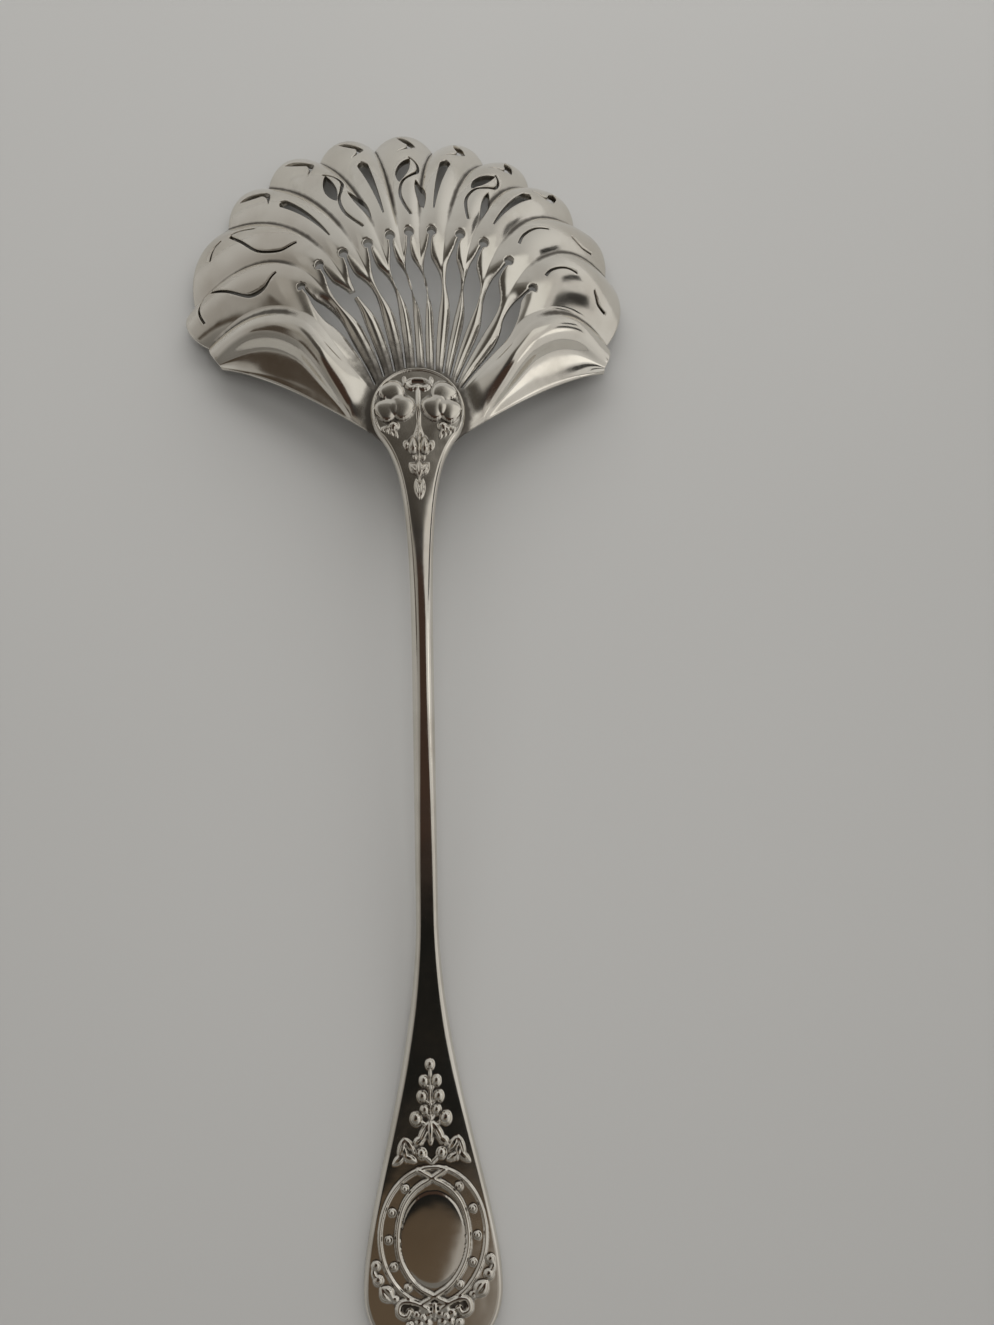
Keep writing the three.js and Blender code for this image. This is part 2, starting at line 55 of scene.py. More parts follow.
# The joint between bowl and handle
DROP_RADIUS = 8
DROP_THICKNESS = 1.9
SEAT_MARGIN = 0.4
SEAT_UNDERSIDE = 9.3
MOUTH_RADIUS = DROP_RADIUS + SEAT_MARGIN
DROP_UNDERSIDE = SEAM_HIGH.z / MM
FILM_SIDES = 72
FILM_ROUND = 0.3

# The bowl's sheet and its flutes
SHEET = 1.1
PIERCED_FLUTES = 11
CREASE = PIERCED_FLUTES / 2
EDGE = CREASE + 1
FLUTE_RISE = 2.1
FLUTE_FADE = 0.5
FLUTE_START = 0.2
FLUTE_FULL = 0.6
CREASE_SOFTNESS = 0.1
POOL_SHARE = 0.52
POOL_POWER = 0.6
POOL_START = 0.1
POOL_END = 1.06
ROLL_RISE = 1.9
ROLL_POWER = 0.65
ROLL_FULL = 0.3
ROLL_FADE = 0.5
ROLL_FADE_START = 0.7
SCOOP_DEPTH = 0.4
END_BLUR = np.linspace(-0.05, 0.05, 6)
CREST_HEIGHT = 12
CREST_FALL = 0.7
WALL_POWER = 1.85
MOUTH_STEP = 11.2
MOUTH_TURN = 11
NECK_TURN = 50
TONGUE_LENGTH = 6.4
TONGUE_HALF_WIDTH = 4.2
MOUTH_EASE = 8
MOUTH_NARROWING = 0.3
EDGE_ROUND = 0.5
EDGE_THIN = 0.3
REED_DEPTH = 0.3
REED_START = 0.03
REED_FADE = 0.14

# The ring of round holes in plan, one to a flute and one beyond either end, as shares of the ring's length
HOLE_RING_LENGTH = 33.1
HOLE_RING = [
    (-0.52, 0.356), (-0.586, 0.686), (-0.492, 0.804), (-0.369, 0.87), (-0.242, 0.927),
    (-0.127, 0.976), (-0.03, 1), (0.088, 1.009),
    (0.239, 0.994), (0.36, 0.949), (0.489, 0.849), (0.613, 0.701), (0.55, 0.372),
]
HOLE_SHARE = 0.44

# The rim is an oval. Each crease has a turn round it in degrees and a reach outside it.
# Each flute between two creases has the reach of its scallop.
RIM_CREASES = [
    (-107.7, 0), (-93.5, 1.4), (-63.1, 0), (-43.8, 0.3), (-26.3, 0), (-9.3, 0),
    (8, -0.3), (23.9, -0.3), (39.9, -0.7), (59.4, -0.4), (79.7, 0.3), (105.7, 0),
]
SCALLOPS = (1.8, 0.4, 0.5, 1, 1, 1, 0.75, 0.8, 0.75, 0.4, 0.95)
RIM_CENTRE = (-0.9, 25.8)
RIM_HALF_WIDTH = 36
RIM_HALF_LENGTH = 32.7
RIM_SIDE_LIFT = 2.6
SIDE_BOW = (0.7, -0.9)
CORNER = (33.4, 11.2, 4)
NEAR_RIM_MIDDLE = (20.8, 5.8, 7)

# The piercing: outlines on the middle flute, across it and along it from its hole
HOLE_RADIUS = 0.8
SAW_CUT = 0.45
WEDGE_HALF_WIDTH = 0.85
WEDGE_FOOT = 4.5
WEDGE_HEAD = 18
WEDGE_CROWN = 1.8
MIDDLE_WALL = 30
BARS = HOLE_RING_LENGTH - MOUTH_RADIUS
CUT_ROUND = 0.2
CUT_TURNS = (0, 30, 60)
CUT_CLEAR = 0.01
CUT_FLARE = 0.05
CUT_MARGIN = 0.6
SIDE_FLUTES = 2
WEDGE_FLUTES = (1, 3)
# Share of the bars' length, half width and sway of a slot
SLOT = [
    (0, 0.28, 0), (0.1, 0.28, -0.25), (0.18, 0.55, -0.4), (0.235, 0.95, -0.15),
    (0.3, 1.3, 0.2), (0.38, 1.35, 0.5), (0.47, 0.95, 0.8), (0.57, 0.48, 0.9),
    (0.7, 0.26, 0.7), (0.85, 0.18, 0.35), (0.97, 0.15, 0.05),
]
LEFT_LEAF = [(1, 18.6), (-2.6, 14.8), (-0.8, 10.9), (1.3, 13.8), (1, 18.6)]
RIGHT_LEAF = [(1.9, 12.4), (4.2, 9.8), (2.8, 5), (1.2, 9.2), (1.9, 12.4)]
KNOT_LINE = [(0.7, 19), (2.1, 17.6), (2.3, 15.4), (1, 12.9), (-0.4, 10.8), (-0.9, 8), (-0.3, 5.4), (0.6, 3.4)]
RIM_SLASH = [
    (-1, 28.7), (0.7, 28.3), (1.9, 24.8), (1.5, 22.4), (-1, 21.2),
    (0.8, 23), (0.6, 24.4), (-0.4, 25.8), (-1, 28.7),
]
LEFT_SIDE_LINES = [
    [(1, 7), (-1.5, 9.5), (-2.1, 15), (0.3, 19.8), (2.7, 23.4), (3.5, 22), (3.3, 18.5)],
    [(2.4, 25.2), (1, 26.3), (-1.4, 26.8)],
]
RIGHT_SIDE_LINES = [
    [(-0.7, 4.6), (-1.4, 7.2), (-1.4, 11), (-0.5, 14)],
    [(1.2, 20), (2.8, 22.6), (3.2, 26)],
]
BROKEN_BAR = -3.5
BREAK_SHARE = (0.3, 0.37)
BREAK_REACH = 0.45
BREAK_SLANT = (0.4, 0.3)

# Darkening on the bowl, how dark and how far it reaches: painted shade along the creases and on the faces
# below the top, darker bars and foot, and a tarnish stain
CREASE_SHADE = 0.9
CREASE_SHADE_WIDTH = 0.55
CREASE_SHADE_START = (HOLE_SHARE - 0.05, HOLE_SHARE + 0.15)
CREASE_SHADE_END = 0.2
BAR_DARKENING = 0.6
BAR_DARKENING_FADE = (HOLE_SHARE - 0.1, HOLE_SHARE)
FOOT_DARKENING = 0.9
FOOT_DARKENING_REACH = 0.05
STAIN = 0.75
STAIN_REACH = 0.2
STAIN_SIDE = (-1, 2)
# Painted shade on the faces below the top of the sheet: the walls of the cuts and the underside
CUT_WALL_SHADE = 0.55

# The handle
HANDLE_LENGTH = 143.4
END_WIDEST = 135.9
END_HALF_WIDTH = 10.3
END_FLAT_HALF_WIDTH = 5.6
END_THICKNESS = 2
TIP_THICKNESS = 1.75
END_TAPER = 0.048
TAPER_EASE = 0.25
TAPER_START = (106, 116)
REST_END = 128
ARCH_END = 10
STEM_THICKNESS = 3
STEM_HALF_WIDTH = 1.75
STEM_START = 40
STEM_END = 84
STEM_POWERS = (2.4, 6)
STEM_FLATTENS = (45, 90)
FLARE_LEAVE = 0.45
FLARE_ARRIVE = 0.22
FLARE_EASE = 0.9
NECK_EASE = 0.1
NECK_END = 0.4
SHOULDER_ANGLE = 36
SHOULDER_REACH = 6
PLATE_ROUND = 0.85
TIP_FACE = 0.03
EDGE_LINE = 0.42
UNDER_POWER = 4

# The handle's ornament. Routes and places are (x, d), on the right-hand side where both sides have the form.
DROP_RIM = 7.55
DROP_RIM_HEIGHT = 0.35
DROP_RIM_ROUND = 0.3
DROP_RIM_FADE = (2, 4.6)
STALK = [(0, -4.3), (0, 0), (0.1, 5)]
LOWER_STALK = [(0.1, 5), (0, 9), (0, 13)]
STRAND = [(0, 2.6), (0.25, 3.6), (0.7, 5)]
RIBBON_END = [(0, -4.2), (1.1, -3.9), (2, -4.6), (2.3, -5.6)]
RIBBON_BAND = [(0, -5.4), (1.1, -5.3), (2.2, -4.6)]
FRINGE_RAYS = 4
FRINGE_ROOT = (4.2, 3)
FRINGE_TIP = (3.7, 4.7)
FRINGE_STEP = (0.75, -0.35)
# The lobes of a clover leaf: place, half width, half length and height. A low blend runs them together
CLOVER = [(4.35, -3.2, 2.05, 1.75, 0.46), (2.65, -0.35, 2, 2.1, 0.58), (5.3, 0.15, 1.85, 1.95, 0.55)]
LOBE_BLEND = 5
LOBE_POWER = 0.16
LOBE_WAVE = 0.06
BUD_WAIST = 0.78
BUD_SWELL = 0.3
VEIN_WIDTH = 0.22
TIP_POWER = 0.4
BERRY_STEM = 1.4
SPRIG_STALK = [(0, 104.6), (0, 108), (0, 113)]
# Place and radius of each berry
SPRIG_BERRIES = [
    (0.95, 106.75, 0.78), (1.25, 109, 0.86), (0.9, 110.95, 0.74), (2.25, 112.15, 0.98), (1.5, 117.1, 0.8),
]
HANGING_BERRIES = [(8.45, 132.3, 0.66), (8.15, 134.3, 0.72), (7.6, 135.5, 0.4), (5.7, 137, 0.5)]
# Place, half width, half length and turn of each curling leaf beside the ring
SPRAY_LEAVES = [
    (3.3, 115.9, 0.5, 1.35, 35), (4.5, 116.2, 0.5, 1.5, -18), (3.3, 117.7, 0.45, 1.15, 62),
    (4.9, 117.8, 0.5, 1.2, -52), (4, 116.9, 0.45, 1.3, 10),
]
CARTOUCHE = (0, 128.6)
MEDAL = (0, 129.1)
BEAD_RING = (6.6, 8.45)
BEAD_ANGLES = (38, 66, 92, 118, 145)
# One of a pair of ribbons that make the inner ring. They cross above and below, and end on the outer ring
INNER_RING = [
    (-2, 119.5), (-0.8, 120.15), (0.5, 120.95), (1.5, 121.45), (2.6, 122.2), (3.65, 123.3),
    (4.45, 124.7), (5, 126.6), (5.25, 128.8), (5.1, 130.8), (4.5, 132.6),
    (3.4, 134.4), (2, 135.8), (0.8, 136.5), (-0.5, 137.2), (-1.8, 137.85),
]
BOW_LOOP = [(1, 138.6), (2.9, 137.6), (4.8, 137.5), (5.2, 138.8), (4.2, 139.4), (3.6, 138.7)]
FLOWER = (1.7, 139.6)
FLOWER_PETALS = 5
PETAL_REACH = 0.95
RELIEF_FADE = 0.35
# How far the tarnish and painted shade round the relief spreads, and how deep a hollow beside it must be to
# turn fully dark
RELIEF_TARNISH_AND_SHADE_PASSES = 40
RELIEF_TARNISH_AND_SHADE_DEPTH = 0.26

# The bowl's mesh. It is cut as a flat grid, with a pitch for each flute and a length from mouth to rim
FLAT_PITCH = 10
FLAT_LENGTH = 54
COLUMNS_PER_FLUTE = 24
COLUMNS_PER_END = 48
TONGUE_ROWS = [-1, -0.5, -0.1]
WALL_ROWS = 100
WALL_END = 0.98
RIM_ROWS = [0.985, 0.99, 0.994, 0.997, 1]
SLOT_STEPS = 60
HOLE_STEPS = 28
SLASH_STEPS = 6
CROWN_STEPS = 8
LEAF_STEPS = 12
WEDGE_STEPS = 24
SAW_STEPS = 34

# The handle's mesh. Its rows are closest together under the ornament
HANDLE_TOP_COLUMNS = 148
HANDLE_UNDER_COLUMNS = 24
CROWDED_EDGES = 0.4
DROP_ORNAMENT_END = 17
END_ORNAMENT_START = 101
ROUND_ROWS = 56
DROP_ROWS = 96
STEM_ROWS = 64
END_ROWS = 280
TIP_ROWS = 10
DROP_STEPS = 120
NECK_STEPS = 80
FLARE_STEPS = 120
CORNER_STEPS = 60

# Steps for slopes along the bowl, angles below which a mesh looks smooth, and limits that keep sums finite
FLUTE_PROBE = 0.4
LINE_STEP = 0.01
SMOOTH_BELOW = 40
HANDLE_SMOOTH_BELOW = 50
NARROWEST_POOL = 1e-3
THIN = 1e-4
TINY = 1e-6
WELD = 2e-7


def smooth(x, low, high):
    share = np.clip((x - low) / (high - low), 0, 1)
    return share * share * (3 - 2 * share)


def mix(a, b, share):
    return a * (1 - share) + b * share


def spline(points, place):
    """Places on a smooth open line through points. The whole numbers of a place are the points themselves."""
    points = np.asarray(points, float)
    padded = np.concatenate([points[:1], points, points[-1:]])
    first = np.clip(np.floor(place).astype(int), 0, len(points) - 2)
    u = (place - first)[..., None]
    a, b, c, d = (padded[first + i] for i in range(4))
    curve = 2 * a - 5 * b + 4 * c - d
    twist = 3 * b - a - 3 * c + d
    return 0.5 * (2 * b + (c - a) * u + curve * u ** 2 + twist * u ** 3)


def bend(points, count):
    return spline(points, np.linspace(0, len(points) - 1, count))


def deselect():
    bpy.ops.object.select_all(action="DESELECT")


def only(piece):
    deselect()
    piece.select_set(True)
    bpy.context.view_layer.objects.active = piece


def read_points(piece):
    points = np.empty(len(piece.data.vertices) * 3)
    piece.data.vertices.foreach_get("co", points)
    return points.reshape(-1, 3)


def write_points(piece, points):
    piece.data.vertices.foreach_set("co", np.ascontiguousarray(points, np.float32).ravel())
    piece.data.update()


def set_in_place(piece, points):
    write_points(piece, points * MM + DROP_PLACE)


def mark(piece, name, values):
    attribute = piece.data.attributes.new(name, "FLOAT", "POINT")
    attribute.data.foreach_set("value", np.ascontiguousarray(values, np.float32))


def apply_modifier(piece, kind, **settings):
    only(piece)
    modifier = piece.modifiers.new(kind.title(), kind)
    for name, value in settings.items():
        setattr(modifier, name, value)
    bpy.ops.object.modifier_apply(modifier=modifier.name)


def grid(name, columns, rows):
    """A flat grid, and the row and column of each of its vertices."""
    deselect()
    bpy.ops.mesh.primitive_grid_add(x_subdivisions=columns, y_subdivisions=rows, size=2)
    piece = bpy.context.object
    piece.name = name
    points = read_points(piece)
    column = np.rint((points[:, 0] + 1) / 2 * columns).astype(int)
    row = np.rint((points[:, 1] + 1) / 2 * rows).astype(int)
    return piece, row, column


def finish_mesh(piece, angle=SMOOTH_BELOW):
    only(piece)
    bpy.ops.object.shade_smooth_by_angle(angle=math.radians(angle))


# The bowl. Flute lines run from the mouth (s = 0) over the ring of holes to the rim (s = 1).
# The value t counts flutes from the middle one, so a crease lies at each half.
# Beyond the last crease is a plain end flute.
def through(start, middle, end, s):
    s = s[..., None]
    h = HOLE_SHARE
    near = start * ((s - h) * (s - 1) / h) + middle * (s * (s - 1) / (h * (h - 1)))
    return near + end * (s * (s - h) / (1 - h))


def crown(t):
    share = t + CREASE - np.floor(t + CREASE)
    return np.sqrt((4 * share * (1 - share)) ** 2 + CREASE_SOFTNESS ** 2) - CREASE_SOFTNESS


def mouth_angle(t):
    beyond = np.clip(np.abs(t) - CREASE, 0, 1)
    inner = np.clip(t, -CREASE, CREASE)
    lean = MOUTH_TURN * (1 - (inner / CREASE) ** 2)
    return np.radians(inner * MOUTH_STEP + lean + np.sign(t) * beyond * NECK_TURN)


def on_mouth(t):
    turn = mouth_angle(t)
    x = MOUTH_RADIUS * np.sin(turn)
    y = MOUTH_RADIUS * np.cos(turn)
    return np.stack([x, y, np.full_like(t, SEAT_UNDERSIDE)], -1)


def on_rim(t):
    creases = np.arange(PIERCED_FLUTES + 1) - CREASE
    degrees, reach = (np.interp(t, creases, values) for values in np.transpose(RIM_CREASES))
    turn = np.radians(degrees)
    flute = np.clip(np.floor(t + CREASE).astype(int), 0, PIERCED_FLUTES - 1)
    out = reach + np.array(SCALLOPS)[flute] * crown(t)
    x = RIM_CENTRE[0] + (RIM_HALF_WIDTH + out) * np.sin(turn)
    y = RIM_CENTRE[1] + (RIM_HALF_LENGTH + out) * np.cos(turn)
    return np.stack([x, y, np.zeros_like(t)], -1)


def on_hole_ring(t):
    place = HOLE_RING_LENGTH * spline(HOLE_RING, t + CREASE + 0.5)
    return np.concatenate([place, np.zeros_like(t)[..., None]], -1)


def pierced_line(s, t):
    across = t / CREASE
    point = through(on_mouth(t), on_hole_ring(t), on_rim(t), s)
    share = np.clip(s / HOLE_SHARE, 0, 1)
    bow = (4 * share * (1 - share)) ** 2
    point[..., 0] += SIDE_BOW[0] * bow * across * np.abs(across)
    point[..., 1] += SIDE_BOW[1] * bow * across ** 2
    crest = CREST_HEIGHT - CREST_FALL * across ** 2
    rim = RIM_SIDE_LIFT * across ** 4
    fall = np.clip((s - HOLE_SHARE) / (1 - HOLE_SHARE), 0, 1)
    climb = mix(SEAT_UNDERSIDE, crest, smooth(s, 0, HOLE_SHARE))
    point[..., 2] = np.where(s < HOLE_SHARE, climb, mix(crest, rim, fall ** WALL_POWER))
    return point


def smooth_bowl(s, t):
    side = np.sign(t)[..., None]
    beyond = np.clip(np.abs(t) - CREASE, 0, 1)[..., None]
    line = pierced_line(s, np.clip(t, -CREASE, CREASE))
    neck = on_mouth(np.sign(t) * EDGE)
    flip = np.concatenate([side, side * side, side * side], -1)
    near = through(neck, np.array(NEAR_RIM_MIDDLE) * flip, np.array(CORNER) * flip, s)
    point = mix(line, near, beyond)
    chord = mix(on_mouth(np.clip(t, -CREASE, CREASE)), neck, beyond)
    return point + (on_mouth(t) - chord) * np.clip(1 - s, 0, 1)[..., None] ** MOUTH_EASE


def bowl_normal(s, t):
    step = LINE_STEP
    along = smooth_bowl(np.minimum(s + step, 1), t) - smooth_bowl(np.maximum(s - step, 0), t)
    across = smooth_bowl(s, np.minimum(t + step, EDGE)) - smooth_bowl(s, np.maximum(t - step, -EDGE))
    normal = np.cross(across, along)
    return normal / np.linalg.norm(normal, axis=-1, keepdims=True)


def across_flute(s, t):
    return (smooth_bowl(s, t + FLUTE_PROBE) - smooth_bowl(s, t - FLUTE_PROBE)) / (2 * FLUTE_PROBE)


def flute_pitch(s, t):
    return np.linalg.norm(across_flute(s, t), axis=-1)


def slot_at(share):
    stations = np.array(SLOT)
    half = np.interp(share, stations[:, 0], stations[:, 1])
    return half, np.interp(share, stations[:, 0], stations[:, 2])


def bar_profile(s, t):
    """How near a point lies to the middle line of its bar: 1 on the line, 0 at the slots on either side."""
    share = np.clip(1 - s / HOLE_SHARE, 0, 1)
    half, sway = slot_at(share)
    left = np.clip(np.floor(t), -CREASE - 0.5, CREASE - 0.5)
    pitch = flute_pitch(np.clip(s, 0, 1), np.clip(left + 0.5, -CREASE + 0.5, CREASE - 0.5))
    start = left + (sway + half) / pitch
    end = left + 1 + (sway - half) / pitch
    place = np.clip((t - start) / (end - start), 0, 1)
    return 1 - (2 * place - 1) ** 2


def end_profile(s, beyond):
    """An end flute: a round roll beside the last crease, then a hollow pool along the near rim."""
    place = np.clip((s - POOL_START) / (POOL_END - POOL_START), 0, 1)
    pool = np.maximum(POOL_SHARE * np.sin(math.pi * place) ** POOL_POWER, NARROWEST_POOL)
    roll = np.clip(beyond / (1 - pool), 0, 1)
    scoop = np.clip((beyond - 1 + pool) / pool, 0, 1)
    hollow = SCOOP_DEPTH * pool / POOL_SHARE * 4 * scoop * (1 - scoop)
    swell = smooth(s, 0, ROLL_FULL) * (1 - ROLL_FADE * smooth(s, ROLL_FADE_START, 1))
    return ROLL_RISE * swell * (4 * roll * (1 - roll)) ** ROLL_POWER - hollow


def bowl_points(s, t, height):
    """Points of the bowl at heights above its inner face. Below s = 0 is the flat tongue under the drop."""
    along = np.clip(s, 0, 1)
    side_border = (EDGE - np.abs(t)) * FLAT_PITCH * np.maximum(along, MOUTH_NARROWING)
    border = np.minimum((1 - along) * FLAT_LENGTH, side_border)
    rounding = np.sqrt(1 - (1 - np.clip(border / EDGE_ROUND, 0, 1)) ** 2)
    height = SHEET / 2 + (height - SHEET / 2) * mix(EDGE_THIN, 1, rounding)
    rise = FLUTE_RISE * (1 - FLUTE_FADE * (t / CREASE) ** 2)
    flutes = rise * along * smooth(along, FLUTE_START, FLUTE_FULL) * crown(t)
    beyond = np.abs(t) - CREASE
    ends = sum(end_profile(along, np.clip(beyond + slip, 0, 1)) for slip in END_BLUR) / len(END_BLUR)
    relief = np.where(beyond < 0, flutes, ends)
    reeds = REED_DEPTH * (bar_profile(along, t) - 1) * (1 - smooth(along, HOLE_SHARE - REED_FADE, HOLE_SHARE))
    reeds = np.where(beyond < 0, reeds, 0) * smooth(along, 0, REED_START)
    lift = height * (1 + reeds / SHEET) + relief
    point = smooth_bowl(along, t) + bowl_normal(along, t) * lift[..., None]
    tongue = [TONGUE_HALF_WIDTH * t / EDGE, np.full_like(t, -TONGUE_LENGTH), np.full_like(t, SEAT_UNDERSIDE)]
    flat = mix(on_mouth(t), np.stack(tongue, -1), np.clip(-s, 0, 1)[..., None])
    flat[..., 2] += height
    return np.where((s <= 0)[..., None], flat, point)


def arcs(points, count):
    """A closed outline of arcs: every second point is a corner, and the ones between pull the arcs."""
    points = np.asarray(points, float)
    u = np.linspace(0, 1, count, endpoint=False)[:, None]
    runs = [(1 - u) ** 2 * points[i] + 2 * u * (1 - u) * points[i + 1] + u ** 2 * points[i + 2]
            for i in range(0, len(points) - 2, 2)]
    return np.concatenate(runs)


def keyhole():
    route = bend(SLOT, SLOT_STEPS)
    right = np.stack([route[:, 2] + route[:, 1], -route[:, 0] * BARS], -1)
    left = np.stack([route[:, 2] - route[:, 1], -route[:, 0] * BARS], -1)
    outside = np.hypot(right[:, 0], right[:, 1]) > HOLE_RADIUS
    outside &= np.hypot(left[:, 0], left[:, 1]) > HOLE_RADIUS
    gap = math.asin(SLOT[0][1] / HOLE_RADIUS)
    turn = np.linspace(gap, 2 * math.pi - gap, HOLE_STEPS) - math.pi / 2
    hole = HOLE_RADIUS * np.stack([np.cos(turn), np.sin(turn)], -1)
    return np.concatenate([hole, left[outside], right[outside][::-1]])


def wedge():
    rise = np.linspace(0, 1, WEDGE_STEPS)[:, None]
    foot = np.array([SAW_CUT / 4, WEDGE_FOOT])
    head = np.array([WEDGE_HALF_WIDTH, WEDGE_HEAD])
    top = arcs([head, (0, WEDGE_HEAD + WEDGE_CROWN), head * (-1, 1)], CROWN_STEPS)
    right = mix(foot, head, rise)[:-1]
    left = mix(head, foot, rise) * (-1, 1)
    return np.concatenate([right, top, left])


def saw_line(route):
    line = bend(route, SAW_STEPS)
    way = np.gradient(line, axis=0)
    way /= np.linalg.norm(way, axis=1, keepdims=True)
    offset = np.stack([way[:, 1], -way[:, 0]], -1) * SAW_CUT / 2
    return np.concatenate([line + offset, (line - offset)[::-1]])


def widened(outline, reach):
    """The outline, moved outwards."""
    way = np.roll(outline, -1, axis=0) - np.roll(outline, 1, axis=0)
    way /= np.linalg.norm(way, axis=1, keepdims=True)
    return outline + np.stack([way[:, 1], -way[:, 0]], -1) * reach


def flat_place(outline, t):
    """An outline on the middle flute, carried to flute t of the flat grid, true and square across it."""
    y = outline[:, 1]
    s = HOLE_SHARE + np.where(y > 0, y * (1 - HOLE_SHARE) / MIDDLE_WALL, y * HOLE_SHARE / BARS)
    t = np.full_like(s, t)
    across = across_flute(s, t)
    along = (smooth_bowl(s + LINE_STEP, t) - smooth_bowl(s - LINE_STEP, t)) / (2 * LINE_STEP)
    slip = np.sum(across * along, -1) / np.sum(along * along, -1)
    turn = outline[:, 0] / np.linalg.norm(across - along * slip[:, None], axis=-1)
    return np.stack([(t + turn) * FLAT_PITCH, (s - turn * slip) * FLAT_LENGTH], -1)


def counter_clockwise(outline):
    x, y = outline.T
    area = np.sum(x * np.roll(y, -1) - y * np.roll(x, -1))
    return outline if area > 0 else outline[::-1]


def cutter_rings(outline, t):
    """Rings of a cutter whose upper edge flares, so that it leaves a rounded edge."""
    outline = counter_clockwise(outline)
    steps = [(-CUT_MARGIN, 0.0)]
    for turn in np.radians(CUT_TURNS):
        steps.append((SHEET - CUT_ROUND * (1 - math.sin(turn)), CUT_ROUND * (1 - math.cos(turn))))
    steps += [(SHEET + CUT_CLEAR, CUT_ROUND), (SHEET + CUT_MARGIN, CUT_ROUND + CUT_FLARE)]
    rings = []
    for height, reach in steps:
        place = flat_place(widened(outline, reach), t)
        rings.append(np.column_stack([place, np.full(len(place), height)]))
    return rings


def cutters(name, cuts):
    points = []
    faces = []
    for rings in cuts:
        count = len(rings[0])
        start = len(points)
        for ring in rings:
            points.extend(ring.tolist())
        faces.append([start + i for i in reversed(range(count))])
        last = start + count * (len(rings) - 1)
        faces.append([last + i for i in range(count)])
        for level in range(len(rings) - 1):
            low = start + level * count
            for i in range(count):
                j = (i + 1) % count
                faces.append([low + i, low + j, low + count + j, low + count + i])
    mesh = bpy.data.meshes.new(name)
    mesh.from_pydata(points, [], faces)
    tool = bpy.data.objects.new(name, mesh)
    bpy.context.scene.collection.objects.link(tool)
    return tool


def pierce(blank):
    first = []
    second = []
    third = []
    for flute in range(PIERCED_FLUTES):
        t = flute - CREASE + 0.5
        first.append(cutter_rings(keyhole(), t))
        if abs(t) > CREASE - SIDE_FLUTES:
            lines = LEFT_SIDE_LINES if t < 0 else RIGHT_SIDE_LINES
            second += [cutter_rings(saw_line(line), t) for line in lines]
            continue
        first.append(cutter_rings(arcs(RIM_SLASH, SLASH_STEPS), t))
        if abs(t) in WEDGE_FLUTES:
            second.append(cutter_rings(wedge(), t))
        else:
            second += [cutter_rings(arcs(outline, LEAF_STEPS), t) for outline in (LEFT_LEAF, RIGHT_LEAF)]
            third.append(cutter_rings(saw_line(KNOT_LINE), t))
    start, end = (HOLE_SHARE * (1 - share) * FLAT_LENGTH for share in BREAK_SHARE)
    left = (BROKEN_BAR - BREAK_REACH) * FLAT_PITCH
    right = (BROKEN_BAR + BREAK_REACH) * FLAT_PITCH
    gap = [(left, end), (right, end + BREAK_SLANT[0]), (right, start), (left, start - BREAK_SLANT[1])]
    third.append([np.column_stack([gap, np.full(len(gap), z)]) for z in (-CUT_MARGIN, SHEET + CUT_MARGIN)])
    for name, cuts in (("first_piercing", first), ("second_piercing", second), ("third_piercing", third)):
        tool = cutters(name, cuts)
        apply_modifier(blank, "BOOLEAN", operation="DIFFERENCE", object=tool, solver="MANIFOLD")
        bpy.data.objects.remove(tool)


def bowl_crevice(s, t, height):
    """Where the bowl is darkened: painted shade along the creases and on the faces below the top, darker
    beside the bars and round the drop, and a tarnish stain near the drop, most on the left.
    """
    along = np.clip(s, 0, 1)
    pitch = flute_pitch(along, np.clip(t, -CREASE, CREASE))
    from_crease = np.abs(t + CREASE - np.rint(t + CREASE)) * pitch
    # Painted shade along each crease, from the ring of holes out to the rim
    creases = CREASE_SHADE * np.exp(-(from_crease / CREASE_SHADE_WIDTH) ** 2)
    creases = np.where(np.abs(t) > CREASE + CREASE_SHADE_END, 0, creases) * smooth(along, *CREASE_SHADE_START)
    # Darker towards the sides of each bar, fading out before the ring of holes
    bars = BAR_DARKENING * (1 - bar_profile(along, t)) * (1 - smooth(along, *BAR_DARKENING_FADE))
    stain = STAIN * np.exp(-(along / STAIN_REACH) ** 2) * smooth(-t, *STAIN_SIDE)
    bars_and_stain = np.where(np.abs(t) > CREASE, 0, np.maximum(bars, stain))
    # Darker at the foot of the bowl, round the drop
    foot = FOOT_DARKENING * np.exp(-along / FOOT_DARKENING_REACH)
    # Painted shade on the walls of the cuts and on the underside of the sheet
    walls = np.where(height < SHEET - CUT_ROUND / 2, CUT_WALL_SHADE, 0)
    return np.clip(np.maximum.reduce([creases, bars_and_stain, foot, walls]), 0, 1)


def shell_bowl():
    across = np.linspace(-CREASE, CREASE, PIERCED_FLUTES * COLUMNS_PER_FLUTE + 1)
    end = np.linspace(CREASE, EDGE, COLUMNS_PER_END + 1)[1:]
    column_values = np.concatenate([-end[::-1], across, end])
    row_values = np.concatenate([TONGUE_ROWS, np.linspace(0, WALL_END, WALL_ROWS), RIM_ROWS])
    blank, row, column = grid("shell_bowl_silver", len(column_values) - 1, len(row_values) - 1)
    t = column_values[column]
    s = row_values[row]
    write_points(blank, np.column_stack([t * FLAT_PITCH, s * FLAT_LENGTH, np.zeros_like(s)]))
    apply_modifier(blank, "SOLIDIFY", thickness=SHEET, offset=1)
    pierce(blank)
    flat = read_points(blank)
    t = np.clip(flat[:, 0] / FLAT_PITCH, -EDGE, EDGE)
    s = np.clip(flat[:, 1] / FLAT_LENGTH, -1, 1)
    height = flat[:, 2]
    set_in_place(blank, bowl_points(s, t, height))
    mark(blank, "crevice", bowl_crevice(s, t, height))
    finish_mesh(blank)
    return blank


